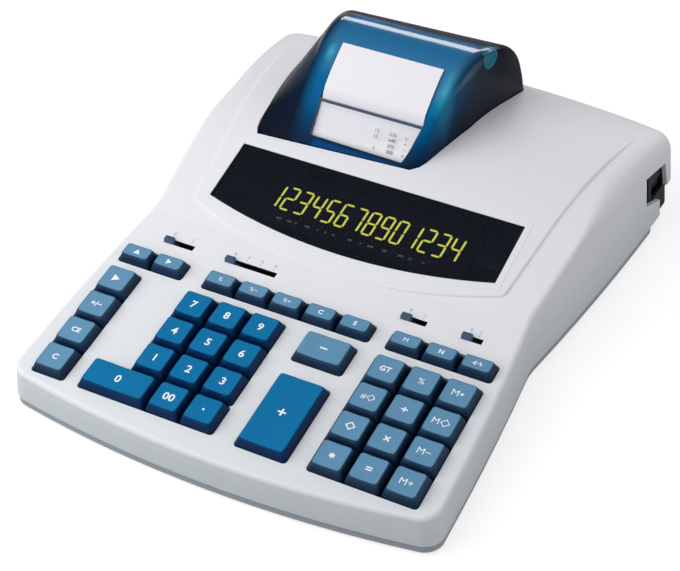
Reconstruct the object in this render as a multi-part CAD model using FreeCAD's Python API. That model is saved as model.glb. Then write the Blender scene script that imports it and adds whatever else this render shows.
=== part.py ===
import FreeCAD, Part
import math
import os

# Desktop printing calculator. Millimetres, +X right, +Y back, +Z up.
# The origin is on the desk, under the middle of the outline.
# A distance "from the front" runs back along the desk from the front edge.

Vec = FreeCAD.Vector

# Overall casing
case_length = 338.0
base_height = 1.5            # desk to underside of the lower casing
wall = 2.5
deck_angle = 7.0
deck_front_height = 20.7     # underside to the key deck at the front edge
panel_angle = 12.9
panel_start = 0.4012 * case_length   # from the front, where the slope meets the deck
slope_end = 0.577 * case_length      # from the front, where the slope turns into the crown
panel_step = 1.3             # raised panel above the shoulders
panel_edge = 1.0             # rounding of the raised panel's rim
crown_radius = 206.0
shoulder_radius = 250.0
parting_height = 4.5         # lower edge of the upper casing above the underside
draft_height = 70.0          # height at which the upper plan outline is given

# Half plan outline: (half width, distance from the front) at the underside
plan_front = (117.0, 11.0)
plan_side = (114.3, 0.222 * case_length)
plan_waist = (109.0, 0.423 * case_length)
plan_flare = (118.4, 0.6213 * case_length)
plan_rear = (127.5, 0.938 * case_length)
# The same points draw in by this much at the draft height
draft_front = 7.0
draft_side = 3.7
draft_waist = 3.2
draft_flare = 6.5
draft_rear = 8.0
draft_bow = 1.2
front_corner_radius = 11.0
rear_corner_radius = 13.5
waist_radius = 40.0
edge_round_front = 2.5       # rounding of the top edge, up to the end of the slope
edge_round_rear = 11.0       # from the crest of the crown on
least_round = 0.5

# Raised panel: half widths along it
panel_front_half = 88.8
panel_mid_half = 97.2
panel_rear_half = 114.0
panel_corner = 5.0
panel_mid_from_front = 0.6065 * case_length
panel_nose = panel_start - 3.9            # front of the panel on the centre line
panel_shoulder_line = panel_start + 13.9  # front of the panel at its corners
panel_slope_width = 4.0
panel_sinks = 0.888 * case_length         # where it has sunk below the shoulders

# Rear overhang
base_rear = 0.84 * case_length            # rear of the lower casing
base_rear_bow = 6.0
side_rear = 0.867 * case_length           # rear of the upper casing's side walls
lip_height = 17.0            # lower edge of the overhang above the underside

# Keys, measured along the deck from the middle of the lowest key row
row_zero = 23.7              # from the front edge, along the deck
pitch_x = 19.0
pitch_y = 19.2
key_gap = 0.8                # between neighbouring keys
well_clearance = 0.5         # between a key and the edge of its opening
key_rise = 5.2
key_skirt = 3.5              # key wall below the deck
key_taper = 2.0              # drawn in on each side at the top
key_corner = 1.6
key_travel = 2.8
key_dish = 0.7
dish_radius = 60.0
key_foot = 0.4               # height of the upright part above the deck
key_shell = 1.8
key_crown = 1.6              # thickness of the key's top
long_key = 1.6               # a key this many pitches long has two posts
post_size = 5.0
post_end = 13.0              # below the deck
post_clearance = 0.3
plate_top = 7.0              # key plate below the deck
plate_thickness = 2.0
board_gap = 1.7              # between a pressed key's post and the circuit board
key_board_top = post_end + key_travel + board_gap
board_thickness = 1.6

column_x = {
    "left": -95.0,
    "seven": -49.4,
    "eight": -30.4,
    "nine": -11.4,
    "total": 57.0,
    "operator": 76.0,
    "memory": 95.0,
}
plus_minus_x = 23.7
plus_minus_width = 27.2
plus_y = 13.5
plus_depth = 47.3
minus_y = 57.4
minus_depth = 18.9
double_zero_x = -58.9
double_zero_width = 37.2

function_y = 78.5
function_depth = 11.2
function_width = 18.2
function_columns = [-95.0, -76.0, -45.6, -26.6, -7.6, 11.4, 30.4, 58.0, 77.0, 96.0]

# Slide switches: (left end, right end) of each slot, along the width
switch_y = 95.5
switch_slot_height = 3.5
switch_slots = [(-89.0, -71.7), (-52.7, -23.3), (47.3, 61.2), (80.1, 91.2)]
knob_length = 5.4
knob_clearance = 0.25
knob_rise = 2.6
knob_flange = 1.5
knob_round = 0.6

# Display window, along the panel slope from where the slope meets the deck
window_half = 82.3
window_back = 58.6
window_front_side = 19.0
window_front_middle = 6.8
window_thickness = 1.5
window_sink = 0.3
window_ledge = 2.0
window_clearance = 0.15
tube_length = 128.0
tube_middle = 34.0
tube_depth = 34.0
tube_thickness = 6.0
tube_corner = 1.0
tube_gap = 3.0

# Printer cover: heights and depths are above the key tops, square to the deck. Its walls stand
# upright from the foot to the sill, at the casing's surface, and lean in from there to the top.
cover_wall = 2.0
cover_stations = [
    # along the case as a share of its length, left foot, left top, right top, right foot, foot z, sill z, top z
    (0.6145, -78.5, -74.0, 5.5, 9.5, -2.0, -0.5, 3.8),
    (0.6250, -80.9, -68.0, 10.5, 13.6, -2.0, 1.2, 5.7),
    (0.6400, -82.0, -62.0, 12.5, 15.6, -2.0, 2.5, 9.6),
    (0.6707, -83.2, -60.0, 15.0, 17.8, -2.0, 3.8, 20.0),
    (0.7121, -85.2, -60.0, 17.5, 21.0, -2.5, 2.8, 29.0),
    (0.7565, -87.2, -61.5, 20.0, 24.0, -4.0, 0.6, 35.6),
    (0.8009, -89.0, -64.0, 22.0, 25.3, -7.0, -2.8, 36.2),
    (0.8512, -91.0, -67.0, 25.0, 27.2, -12.0, -8.2, 30.5),
    (0.8985, -92.3, -70.0, 27.5, 28.9, -18.0, -14.4, 20.0),
    (0.9251, -92.0, -71.0, 28.0, 29.5, -22.0, -18.0, 7.0),
    (0.9414, -90.0, -71.5, 27.5, 29.0, -25.0, -21.7, -8.0),
]
cover_skew_front = 0.06      # the front edge runs askew, and less and less behind it
cover_skew_end = 0.6707 * case_length - row_zero
cover_skew = 0.075           # so does the rear, as the casing's rear edge does
cover_skew_start = 0.8334 * case_length - row_zero
cover_skew_middle = -29.0
cover_round = 4.5
cover_round_share = 0.45     # where the cover is low, the rounding is this share of its height
cover_gap = 0.6              # between the cover and its opening
cover_inside_drop = 6.0      # the inside is cut open this far below the foot
ledge_end_gap = 4.0
ledge_depth = 4.0
hinge_y = 0.9595 * case_length - row_zero
hinge_z = -22.0
hinge_pin_radius = 1.2
hinge_pin_clearance = 0.05
hinge_eye_radius = 2.6
hinge_plate_margin = 0.6     # round the pin
hinge_lug_width = 8.0
hinge_plate = 2.0
hinge_reach = 12.0           # how far the casing's brackets hang down
hinge_places = (-54.0, 4.0)  # left faces of the cover's lugs

# Paper and printer
platen_radius = 6.0
platen_length = 61.0
platen_y = 0.6574 * case_length - row_zero
platen_z = -9.0
paper_width = 60.0
paper_middle = -20.0
paper_thickness = 0.25
slot_from_platen = 4.3
slot_width = 5.7             # paper slot in the cover, along the deck
slot_y0 = platen_y + slot_from_platen
slot_y1 = slot_y0 + slot_width
paper_rise = 0.9             # paper above the cover
paper_lead = 1.6             # from the slot's edges to where the paper bends
paper_bends = 4
paper_cut_y = 0.7565 * case_length - row_zero
shaft_radius = 2.0
shaft_clearance = 0.05
roll_radius = 24.0
journal_radius = 3.0
roll_y = 0.8334 * case_length - row_zero
roll_z = -14.0
spindle_radius = 5.0
spindle_gap = 1.0            # between the spindle's ends and the frame
shaft_end = 1.0              # shafts stand out of the frame by this much
frame_plate = 2.0
frame_half = 35.0
frame_floor = 6.0            # above the underside
frame_height = 46.0
frame_above_shaft = 4.8
frame_ahead = 8.0            # of the platen's middle
frame_behind = 14.0          # of the roll's middle

# Transformer, circuit boards and key plate
transformer_left = 48.0
transformer_width = 48.0
transformer_front = 0.639 * case_length
transformer_rear = 0.7633 * case_length
core_height = 36.0
core_inset = 10.0
coil_inset = 8.0
coil_low = 7.0
coil_high = 29.0
coil_corner = 4.0
strap_reach = 6.0
strap_inset = 12.0
strap_thickness = 1.5
board_left = -100.0
board_right = 104.0
board_front = -9.0
board_back = 100.0
main_board_half = 96.0
main_board_front = 0.42 * case_length
main_board_rear = 0.5917 * case_length
main_board_height = 9.0      # above the underside
plate_left = -105.0
plate_right = 106.0
plate_front = -10.0
plate_back = 86.0

# Fixings
foot_radius = 8.0
foot_sink = 1.0
foot_round = 0.5
feet_rear = 0.775 * case_length
feet = [(-92.0, 28.0), (92.0, 28.0), (-98.0, feet_rear), (98.0, feet_rear)]
screw_radius = 1.5
screw_clearance = 0.1
screw_head_radius = 3.2
screw_head_height = 2.0
screw_length = 14.0
screw_sink = 0.3
screw_bore_extra = 2.0       # below the shank's end
cross_half_length = 1.8
cross_half_width = 0.4
cross_depth = 1.2
boss_radius = 4.0
boss_gap = 0.2
boss_low = 9.4               # lower end of the upper casing's bosses, above the underside
screws_mid = 0.3905 * case_length
screws_rear = 0.71 * case_length
screws = [(-60.0, 9.8), (60.0, 9.8), (-100.5, screws_mid), (100.5, screws_mid)]
screws += [(-111.0, screws_rear), (111.0, screws_rear)]

# Rear panel with the rocker switch and the mains inlet
rocker_from_front = 0.8757 * case_length
rocker_height = 21.5
rocker_length = 14.0
rocker_width = 8.0
rocker_tilt = 8.0            # each way from the middle
rocker_thickness = 6.0
rocker_taper = 1.5           # the rocker is shorter at its back by this much at each end
rocker_dip = 0.6
rocker_face = 118.4
rocker_pivot_x = 114.4
rocker_clearance = 0.8
rear_panel_gap = 0.6
rear_panel_wall = 2.0
rear_panel_low = 3.0
rear_panel_top = 35.0
rear_panel_left = 60.0
rear_panel_end = 0.916 * case_length
rear_floor_height = 11.0     # underside of the overhang
inlet_x = 84.0
inlet_height = 9.6
inlet_length = 15.8
inlet_width = 8.0
inlet_depth = 10.0
inlet_pin_radius = 1.2
inlet_pin_short = 1.5        # the pins end this far inside the mouth
# Corners of the opening in the right wall: (from the front, above the underside)
notch_depth = 40.0
notch_corners = [
    (0.8136 * case_length, 39.5),
    (0.8905 * case_length, 34.5),
    (0.9024 * case_length, 10.0),
    (side_rear, 15.0),
    (0.8136 * case_length, 21.6),
]

# Lower casing
parting_inset = 0.8
parting_gap = 0.2
tongue_gap = 0.3
tongue_width = 2.0
tongue_height = 9.0

big = 400.0                  # reaches past everything
overlap = 30.0               # reaches past where two forms meet
past_end = 12.0
corner_search = 4.0          # an edge this near a corner belongs to it

os.makedirs("parts", exist_ok=True)


def from_front(distance):
    return distance - case_length / 2.0


def point(x, distance, height):
    """A point given by its distance from the front and its height above the underside."""
    return Vec(x, from_front(distance), height + base_height)


def save(name, shape):
    shape.exportStep("parts/" + name + ".step")


def solid_box(x0, x1, y0, y1, z0, z1):
    return Part.makeBox(x1 - x0, y1 - y0, z1 - z0, Vec(x0, y0, z0))


def fuse_all(shapes):
    result = shapes[0]
    for shape in shapes[1:]:
        result = result.fuse(shape)
    return result.removeSplitter()


# The deck's own frame: x right, y back along the deck, z square to it, zero on its surface
deck_origin_distance = row_zero * math.cos(math.radians(deck_angle))
deck_frame = FreeCAD.Placement(
    point(0.0, deck_origin_distance, deck_front_height + row_zero * math.sin(math.radians(deck_angle))),
    FreeCAD.Rotation(Vec(1, 0, 0), deck_angle),
)
# The panel's own frame, zero where its upper surface would meet the deck's end
panel_base_height = deck_front_height + panel_start * math.tan(math.radians(deck_angle)) + panel_step
panel_frame = FreeCAD.Placement(
    point(0.0, panel_start, panel_base_height),
    FreeCAD.Rotation(Vec(1, 0, 0), panel_angle),
)


def on_deck(shape):
    moved = shape.copy()
    moved.Placement = deck_frame.multiply(moved.Placement)
    return moved


def on_panel(shape):
    moved = shape.copy()
    moved.Placement = panel_frame.multiply(moved.Placement)
    return moved


def deck_point(x, y, z):
    return deck_frame.multVec(Vec(x, y, z))


def along_deck(share):
    """Along the deck from key row zero, for a place given as a share of the case's length."""
    return share * case_length - row_zero


# Casing outer form
def plan_wire(height, share, inset):
    """Closed plan outline: front bow, two side arcs a side, rear bow. share is the part of the draft."""
    front_x = plan_front[0] - draft_front * share - inset
    side_x = plan_side[0] - draft_side * share - inset
    waist_x = plan_waist[0] - draft_waist * share - inset
    flare_x = plan_flare[0] - draft_flare * share - inset
    rear_x = plan_rear[0] - draft_rear * share - inset
    front_s = plan_front[1] + draft_bow * share + inset
    rear_s = plan_rear[1] - draft_bow * share - inset
    bow_front = point(0.0, draft_bow * share + inset, height)
    bow_rear = point(0.0, case_length - draft_bow * share - inset, height)

    def side(sign):
        a = point(sign * front_x, front_s, height)
        b = point(sign * side_x, plan_side[1], height)
        c = point(sign * waist_x, plan_waist[1], height)
        d = point(sign * flare_x, plan_flare[1], height)
        e = point(sign * rear_x, rear_s, height)
        return a, b, c, d, e

    ra, rb, rc, rd, re = side(1.0)
    la, lb, lc, ld, le = side(-1.0)
    edges = [
        Part.Arc(la, bow_front, ra).toShape(),
        Part.Arc(ra, rb, rc).toShape(),
        Part.Arc(rc, rd, re).toShape(),
        Part.Arc(re, bow_rear, le).toShape(),
        Part.Arc(le, ld, lc).toShape(),
        Part.Arc(lc, lb, la).toShape(),
    ]
    return Part.Wire(edges)


def upright_edges(shape, distance, tolerance):
    """Edges that stand up at one distance from the front."""
    found = []
    for edge in shape.Edges:
        a = edge.Vertexes[0].Point
        b = edge.Vertexes[-1].Point
        tall = abs(a.z - b.z) > draft_height / 2.0
        near = abs(a.y - from_front(distance)) < tolerance and abs(b.y - from_front(distance)) < tolerance
        if tall and near:
            found.append(edge)
    return found


def plan_solid(inset):
    low = plan_wire(0.0, 0.0, inset)
    high = plan_wire(draft_height, 1.0, inset)
    solid = Part.makeLoft([low, high], True, True)
    solid = solid.makeFillet(front_corner_radius - inset, upright_edges(solid, plan_front[1] + inset, corner_search))
    solid = solid.makeFillet(rear_corner_radius - inset, upright_edges(solid, plan_rear[1] - inset, corner_search))
    solid = solid.makeFillet(waist_radius, upright_edges(solid, plan_waist[1], corner_search))
    return solid


def crest_distance():
    """Where the crown is highest, from the front."""
    return slope_end + crown_radius * math.sin(math.radians(panel_angle))


def side_profile(drop, radius, start_drop):
    """Everything under the side profile: deck, slope and crown, lowered by drop."""
    tangent = math.tan(math.radians(panel_angle))
    slope_y0 = panel_start
    top_drop = drop + start_drop
    z_start = panel_base_height - top_drop
    z_end = z_start + (slope_end - slope_y0) * tangent
    centre_s = crest_distance()
    crest_z = z_end + crown_radius * (1.0 - math.cos(math.radians(panel_angle)))
    rear_s = case_length + past_end
    rear_z = crest_z - radius + math.sqrt(radius ** 2 - (rear_s - centre_s) ** 2)
    mid_s = (centre_s + rear_s) / 2.0
    mid_z = crest_z - radius + math.sqrt(radius ** 2 - (mid_s - centre_s) ** 2)
    rise_mid_s = (slope_end + centre_s) / 2.0
    half_turn = math.asin((centre_s - rise_mid_s) / crown_radius)
    rise_mid_z = crest_z - crown_radius * (1.0 - math.cos(half_turn))
    crest = point(0.0, centre_s, crest_z)
    start = point(0.0, slope_y0 - overlap, z_start - overlap * tangent)
    end = point(0.0, slope_end, z_end)
    rear = point(0.0, rear_s, rear_z)
    edges = [
        Part.LineSegment(start, end).toShape(),
        Part.Arc(end, point(0.0, rise_mid_s, rise_mid_z), crest).toShape(),
        Part.Arc(crest, point(0.0, mid_s, mid_z), rear).toShape(),
        Part.LineSegment(rear, point(0.0, rear_s, -overlap)).toShape(),
        Part.LineSegment(point(0.0, rear_s, -overlap), point(0.0, slope_y0 - overlap, -overlap)).toShape(),
        Part.LineSegment(point(0.0, slope_y0 - overlap, -overlap), start).toShape(),
    ]
    face = Part.Face(Part.Wire(edges))
    face.translate(Vec(-big / 2.0, 0, 0))
    return face.extrude(Vec(big, 0, 0))


def deck_half_space(drop):
    """Everything under the key deck, lowered by drop, back to just past the start of the slope."""
    tangent = math.tan(math.radians(deck_angle))
    back = panel_start + overlap
    corners = [
        point(-big / 2.0, -overlap, deck_front_height - drop - overlap * tangent),
        point(-big / 2.0, back, deck_front_height - drop + back * tangent),
        point(-big / 2.0, back, -overlap),
        point(-big / 2.0, -overlap, -overlap),
    ]
    face = Part.Face(Part.makePolygon(corners + [corners[0]]))
    return face.extrude(Vec(big, 0, 0))


def rim_edges(shape):
    """The edges round the top: all that are curved and high, so not the creases across."""
    lowest = base_height + deck_front_height / 2.0
    return [e for e in shape.Edges if e.Curve.TypeId != "Part::GeomLine" and e.BoundBox.ZMin > lowest]


def between(edge, near, far):
    """Whether an edge lies between two distances from the front."""
    ends = [v.Point.y for v in edge.Vertexes]
    return min(ends) > from_front(near) and max(ends) < from_front(far)


def front_body(inset):
    """Front part of the casing, under the key deck."""
    return plan_solid(inset).common(deck_half_space(inset))


def rear_body(inset):
    """Rear part of the casing, its top edge rounded more and more towards the rear."""
    rear = plan_solid(inset).common(side_profile(inset, shoulder_radius, panel_step))
    left = [e for e in rim_edges(rear) if e.BoundBox.XMax < 0.0]
    crown = [e for e in left if between(e, slope_end - 1.0, crest_distance() + 1.0)]
    return rear.makeFillet(max(edge_round_front - inset, least_round), edge_round_rear - inset, crown)


def mirrored(left):
    left = left.common(solid_box(-big, 0.0, -big, big, -big, big))
    return left.fuse(left.mirror(Vec(0, 0, 0), Vec(1, 0, 0)))


def body_outside():
    front = front_body(0.0)
    front = front.makeFillet(edge_round_front, rim_edges(front))
    return mirrored(front.fuse(rear_body(0.0)))


def body_inside():
    return mirrored(front_body(wall).fuse(rear_body(wall)))


def panel_solid():
    """The raised panel with a bowed front and sides that slope in."""
    def outline(height, draw_in):
        nose = panel_nose + draw_in
        line = panel_shoulder_line + draw_in
        rear = case_length + past_end
        fl = point(-panel_front_half + draw_in, line, height)
        fr = point(panel_front_half - draw_in, line, height)
        ml = point(-panel_mid_half + draw_in, panel_mid_from_front, height)
        mr = point(panel_mid_half - draw_in, panel_mid_from_front, height)
        rl = point(-panel_rear_half + draw_in, rear, height)
        rr = point(panel_rear_half - draw_in, rear, height)
        edges = [
            Part.Arc(fl, point(0.0, nose, height), fr).toShape(),
            Part.Arc(fr, mr, rr).toShape(),
            Part.LineSegment(rr, rl).toShape(),
            Part.Arc(rl, ml, fl).toShape(),
        ]
        return Part.Wire(edges)

    low = outline(deck_front_height, -panel_slope_width)
    high = outline(draft_height, panel_slope_width)
    block = Part.makeLoft([low, high], True, True)
    block = block.makeFillet(panel_corner, upright_edges(block, panel_shoulder_line, 2.0 * panel_slope_width))
    panel = block.common(side_profile(0.0, crown_radius, 0.0))
    panel = panel.common(solid_box(-big, big, -big, from_front(panel_sinks), -big, big))
    lowest = base_height + panel_base_height - 3.0 * panel_step
    rim = [e for e in panel.Edges if e.Curve.TypeId != "Part::GeomLine" and e.BoundBox.ZMin > lowest]
    return panel.makeFillet(panel_edge, rim)


def slab(z0, z1):
    """Everything between two heights above the underside."""
    return solid_box(-big / 2.0, big / 2.0, -big / 2.0, big / 2.0, z0 + base_height, z1 + base_height)


def behind(distance, bow, z0, z1):
    """Everything behind a line that bows back by bow on the centre line."""
    half = plan_rear[0]
    left = point(-half, distance, z0)
    right = point(half, distance, z0)
    far_right = point(half, case_length + overlap, z0)
    far_left = point(-half, case_length + overlap, z0)
    edges = [
        Part.Arc(left, point(0.0, distance + bow, z0), right).toShape(),
        Part.LineSegment(right, far_right).toShape(),
        Part.LineSegment(far_right, far_left).toShape(),
        Part.LineSegment(far_left, left).toShape(),
    ]
    face = Part.Face(Part.Wire(edges))
    return face.extrude(Vec(0, 0, z1 - z0))


def rounded_block(x0, x1, y0, y1, z0, z1, radius):
    block = solid_box(x0, x1, y0, y1, z0, z1)
    upright = [e for e in block.Edges if abs(e.Vertexes[0].Z - e.Vertexes[1].Z) > (z1 - z0) / 2.0]
    return block.makeFillet(radius, upright)


# Keys
def block_keys():
    """Name, middle x, middle y, width and depth of every key, along the deck."""
    width = pitch_x - key_gap
    depth = pitch_y - key_gap
    keys = []

    def column(place, names):
        for row, name in enumerate(names):
            keys.append((name, place, row * pitch_y, width, depth))

    column(column_x["left"], ["key_clear", "key_clear_entry", "key_sign_change", "key_backspace"])
    column(column_x["memory"], ["key_memory_plus", "key_memory_minus", "key_memory_subtotal", "key_memory_total"])
    column(column_x["operator"], ["key_equals", "key_multiply", "key_divide", "key_percent"])
    column(column_x["total"], ["key_total", "key_subtotal", "key_non_add", "key_grand_total"])
    digits = [("seven", ["1", "4", "7"]), ("eight", ["2", "5", "8"]), ("nine", ["3", "6", "9"])]
    for place, names in digits:
        for row, name in enumerate(names):
            keys.append(("key_digit_" + name, column_x[place], (row + 1) * pitch_y, width, depth))
    keys.append(("key_digit_0", double_zero_x, 0.0, double_zero_width, depth))
    keys.append(("key_digit_00", column_x["eight"], 0.0, width, depth))
    keys.append(("key_decimal_point", column_x["nine"], 0.0, width, depth))
    keys.append(("key_plus", plus_minus_x, plus_y, plus_minus_width, plus_depth))
    keys.append(("key_minus", plus_minus_x, minus_y, plus_minus_width, minus_depth))
    names = ["key_paper_feed", "key_shift", "key_rate", "key_tax_minus", "key_tax_plus"]
    names += ["key_cost", "key_selling_price", "key_margin", "key_item_count", "key_exchange"]
    for name, place in zip(names, function_columns):
        keys.append((name, place, function_y, function_width, function_depth))
    return keys


def rounded_outline(x, y, width, depth, radius, z):
    """A rounded rectangle in the deck's own directions."""
    a = width / 2.0
    b = depth / 2.0
    r = radius
    k = r * (1.0 - math.cos(math.radians(45.0)))
    edges = []
    for sx, sy in [(1, 1), (-1, 1), (-1, -1), (1, -1)]:
        on_side = Vec(x + sx * a, y + sy * (b - r), z)
        middle = Vec(x + sx * (a - k), y + sy * (b - k), z)
        on_end = Vec(x + sx * (a - r), y + sy * b, z)
        start, end = (on_side, on_end) if sx * sy > 0 else (on_end, on_side)
        edges.append((start, middle, end))
    wire = []
    for index, (start, middle, end) in enumerate(edges):
        wire.append(Part.Arc(start, middle, end).toShape())
        following = edges[(index + 1) % 4][0]
        wire.append(Part.LineSegment(end, following).toShape())
    return Part.Wire(wire)


def post_places(x, y, width, depth):
    """A key stands on one post, or on two where it is long."""
    reach = pitch_x / 2.0
    if width > long_key * pitch_x:
        return [(x - reach, y), (x + reach, y)]
    if depth > long_key * pitch_y:
        return [(x, y - reach), (x, y + reach)]
    return [(x, y)]


def make_key(x, y, width, depth):
    """A hollow cap that narrows to a dished top, on its post."""
    low = rounded_outline(x, y, width, depth, key_corner, -key_skirt)
    foot = rounded_outline(x, y, width, depth, key_corner, key_foot)
    top = rounded_outline(x, y, width - 2 * key_taper, depth - 2 * key_taper, key_corner, key_rise)
    skirt = Part.makeLoft([low, foot], True, True)
    cap = Part.makeLoft([foot, top], True, True)
    key = skirt.fuse(cap).removeSplitter()
    axis = Vec(x, y - depth, key_rise + dish_radius - key_dish)
    key = key.cut(Part.makeCylinder(dish_radius, depth * 2, axis, Vec(0, 1, 0)))
    for draw_in, ceiling in ((key_shell, key_foot), (key_shell + key_taper, key_rise - key_dish - key_crown)):
        a = width / 2.0 - draw_in
        b = depth / 2.0 - draw_in
        key = key.cut(solid_box(x - a, x + a, y - b, y + b, -2.0 * key_skirt, ceiling))
    h = post_size / 2.0
    for px, py in post_places(x, y, width, depth):
        key = key.fuse(solid_box(px - h, px + h, py - h, py + h, -post_end, key_rise - key_dish - key_crown / 2.0))
    return key.removeSplitter()


def well_groups(keys):
    """Rectangles of the openings in the deck, each round the keys that share it."""
    by_name = {key[0]: key for key in keys}

    def around(names):
        chosen = [by_name[n] for n in names]
        x0 = min(k[1] - k[3] / 2 for k in chosen) - well_clearance
        x1 = max(k[1] + k[3] / 2 for k in chosen) + well_clearance
        y0 = min(k[2] - k[4] / 2 for k in chosen) - well_clearance
        y1 = max(k[2] + k[4] / 2 for k in chosen) + well_clearance
        return x0, x1, y0, y1

    function_names = [k[0] for k in keys if k[2] == function_y]
    groups = [
        around(["key_clear", "key_backspace"]),
        around(["key_memory_plus", "key_grand_total"]),
        around(["key_digit_1", "key_digit_9"]),
        around(["key_digit_0", "key_decimal_point"]),
        around(["key_plus"]),
        around(["key_minus"]),
        around(function_names[0:2]),
        around(function_names[2:7]),
        around(function_names[7:10]),
    ]
    return groups


def well_cutters(keys):
    depth = 3.0 * wall
    cutters = []
    for x0, x1, y0, y1 in well_groups(keys):
        radius = key_corner + well_clearance
        cutters.append(on_deck(rounded_block(x0, x1, y0, y1, -depth, depth, radius)))
    return cutters


def switch_cutters():
    half = switch_slot_height / 2.0
    return [on_deck(solid_box(a, b, switch_y - half, switch_y + half, -3.0 * wall, wall)) for a, b in switch_slots]


def make_knob(left_end):
    """A slide knob at the left end of its slot, with the flange that holds it under the deck."""
    half = switch_slot_height / 2.0 - knob_clearance
    x0 = left_end + knob_clearance
    x1 = x0 + knob_length
    under = wall + knob_clearance
    block = solid_box(x0, x1, switch_y - half, switch_y + half, -under - knob_flange, knob_rise)
    top = [e for e in block.Edges if min(v.Z for v in e.Vertexes) > knob_rise - knob_clearance]
    block = block.makeFillet(knob_round, top)
    reach = switch_slot_height / 2.0 + knob_flange
    flange = solid_box(x0 - knob_flange, x1 + knob_flange, switch_y - reach, switch_y + reach,
                       -under - knob_flange, -under)
    return on_deck(block.fuse(flange).removeSplitter())


# Display
def window_outline(draw_in, z):
    """Straight behind and at the sides, bowed towards the front. Y runs up the panel."""
    half = window_half - draw_in
    back = window_back - draw_in
    side = window_front_side + draw_in
    front = window_front_middle + draw_in
    a = Vec(-half, side, z)
    b = Vec(half, side, z)
    c = Vec(half, back, z)
    d = Vec(-half, back, z)
    edges = [
        Part.Arc(a, Vec(0, front, z), b).toShape(),
        Part.LineSegment(b, c).toShape(),
        Part.LineSegment(c, d).toShape(),
        Part.LineSegment(d, a).toShape(),
    ]
    return Part.Wire(edges)


def window_block(draw_in, z0, z1):
    return on_panel(Part.Face(window_outline(draw_in, z0)).extrude(Vec(0, 0, z1 - z0)))


def display_window():
    return window_block(window_clearance, -window_sink - window_thickness, -window_sink)


def display_tube():
    top = -window_sink - window_thickness - tube_gap
    return on_panel(rounded_block(-tube_length / 2, tube_length / 2, tube_middle - tube_depth / 2,
                                  tube_middle + tube_depth / 2, top - tube_thickness, top, tube_corner))


# Printer cover. Its directions are the deck's, with z zero at the key tops.
def cover_place(x, y, z):
    return deck_point(x, y, z + key_rise)


def cover_skew_at(y):
    """Slant of a cross-section: it fades out behind the front and grows again to the rear."""
    front = along_deck(cover_stations[0][0])
    rear = along_deck(cover_stations[-1][0])
    if y < cover_skew_end:
        return cover_skew_front * min(1.0, (cover_skew_end - y) / (cover_skew_end - front))
    return cover_skew * max(0.0, (y - cover_skew_start) / (rear - cover_skew_start))


def cover_section(y, station, inset, lower):
    """One cross-section: foot, sill, leaning side, rounded shoulder, top, and the same down again."""
    left_foot, left_top, right_top, right_foot, foot_z, sill_z, top_z = station[1:]
    skew = cover_skew_at(y)
    left_foot += inset
    right_foot -= inset
    left_top += inset
    right_top -= inset
    top_z -= inset
    foot_z -= lower
    height = top_z - sill_z
    r = min(cover_round - inset, cover_round_share * height)
    left_lean = (left_top - left_foot) / height
    right_lean = (right_foot - right_top) / height
    k = r * (1.0 - math.cos(math.radians(45.0)))
    corners = [
        (left_foot, foot_z),
        (left_foot, sill_z),
        (left_top - left_lean * r, top_z - r),
        (left_top + k - left_lean * k, top_z - k),
        (left_top + r, top_z),
        (right_top - r, top_z),
        (right_top - k + right_lean * k, top_z - k),
        (right_top + right_lean * r, top_z - r),
        (right_foot, sill_z),
        (right_foot, foot_z),
    ]
    points = [cover_place(x, y + skew * (x - cover_skew_middle), z) for x, z in corners]
    edges = [
        Part.LineSegment(points[0], points[1]).toShape(),
        Part.LineSegment(points[1], points[2]).toShape(),
        Part.Arc(points[2], points[3], points[4]).toShape(),
        Part.LineSegment(points[4], points[5]).toShape(),
        Part.Arc(points[5], points[6], points[7]).toShape(),
        Part.LineSegment(points[7], points[8]).toShape(),
        Part.LineSegment(points[8], points[9]).toShape(),
        Part.LineSegment(points[9], points[0]).toShape(),
    ]
    return Part.Wire(edges)


def cover_form(inset, lower):
    places = [along_deck(station[0]) for station in cover_stations]
    places[0] += inset
    places[-1] -= inset
    sections = [cover_section(y, station, inset, lower) for y, station in zip(places, cover_stations)]
    return Part.makeLoft(sections, True, False)


def in_cover_frame(shape):
    moved = shape.copy()
    moved.translate(Vec(0, 0, key_rise))
    return on_deck(moved)


def cover_top(y):
    """Height of the cover's top line, a smooth curve through its stations."""
    line = [(along_deck(station[0]), station[-1]) for station in cover_stations]
    last = len(line) - 1
    index = max([k for k in range(last) if line[k][0] <= y] + [0])

    def slope(k):
        before = line[max(k - 1, 0)]
        after = line[min(k + 1, last)]
        return (after[1] - before[1]) / (after[0] - before[0])

    (start, low), (end, high) = line[index:index + 2]
    run = end - start
    t = (y - start) / run
    bend = slope(index) * run * (1.0 - t) - slope(index + 1) * run * t
    lean = (high - low) * (2.0 * t - 1.0)
    return low + (high - low) * t + t * (1.0 - t) * (bend + lean)


def cover_rear(x):
    """Where the cover's rear wall stands at one place across it."""
    return along_deck(cover_stations[-1][0]) + cover_skew * (x - cover_skew_middle)


def printer_cover():
    shell = cover_form(0.0, 0.0).cut(cover_form(cover_wall, cover_inside_drop))
    half = paper_width / 2.0 + cover_gap
    slot = solid_box(paper_middle - half, paper_middle + half, slot_y0, slot_y1, 0.0, big)
    shell = shell.cut(in_cover_frame(slot))
    for place in hinge_places:
        inner = cover_rear(place) - cover_wall / 2.0
        arm = solid_box(place, place + hinge_lug_width, inner, hinge_y,
                        hinge_z - hinge_eye_radius / 2.0, hinge_z + hinge_eye_radius)
        knuckle = Part.makeCylinder(hinge_eye_radius, hinge_lug_width, Vec(place, hinge_y, hinge_z), Vec(1, 0, 0))
        bore = Part.makeCylinder(hinge_pin_radius + hinge_pin_clearance, 2.0 * hinge_lug_width,
                                 Vec(place - hinge_lug_width / 2.0, hinge_y, hinge_z), Vec(1, 0, 0))
        shell = shell.fuse(in_cover_frame(arm.fuse(knuckle))).cut(in_cover_frame(bore))
    return shell.removeSplitter()


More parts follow.
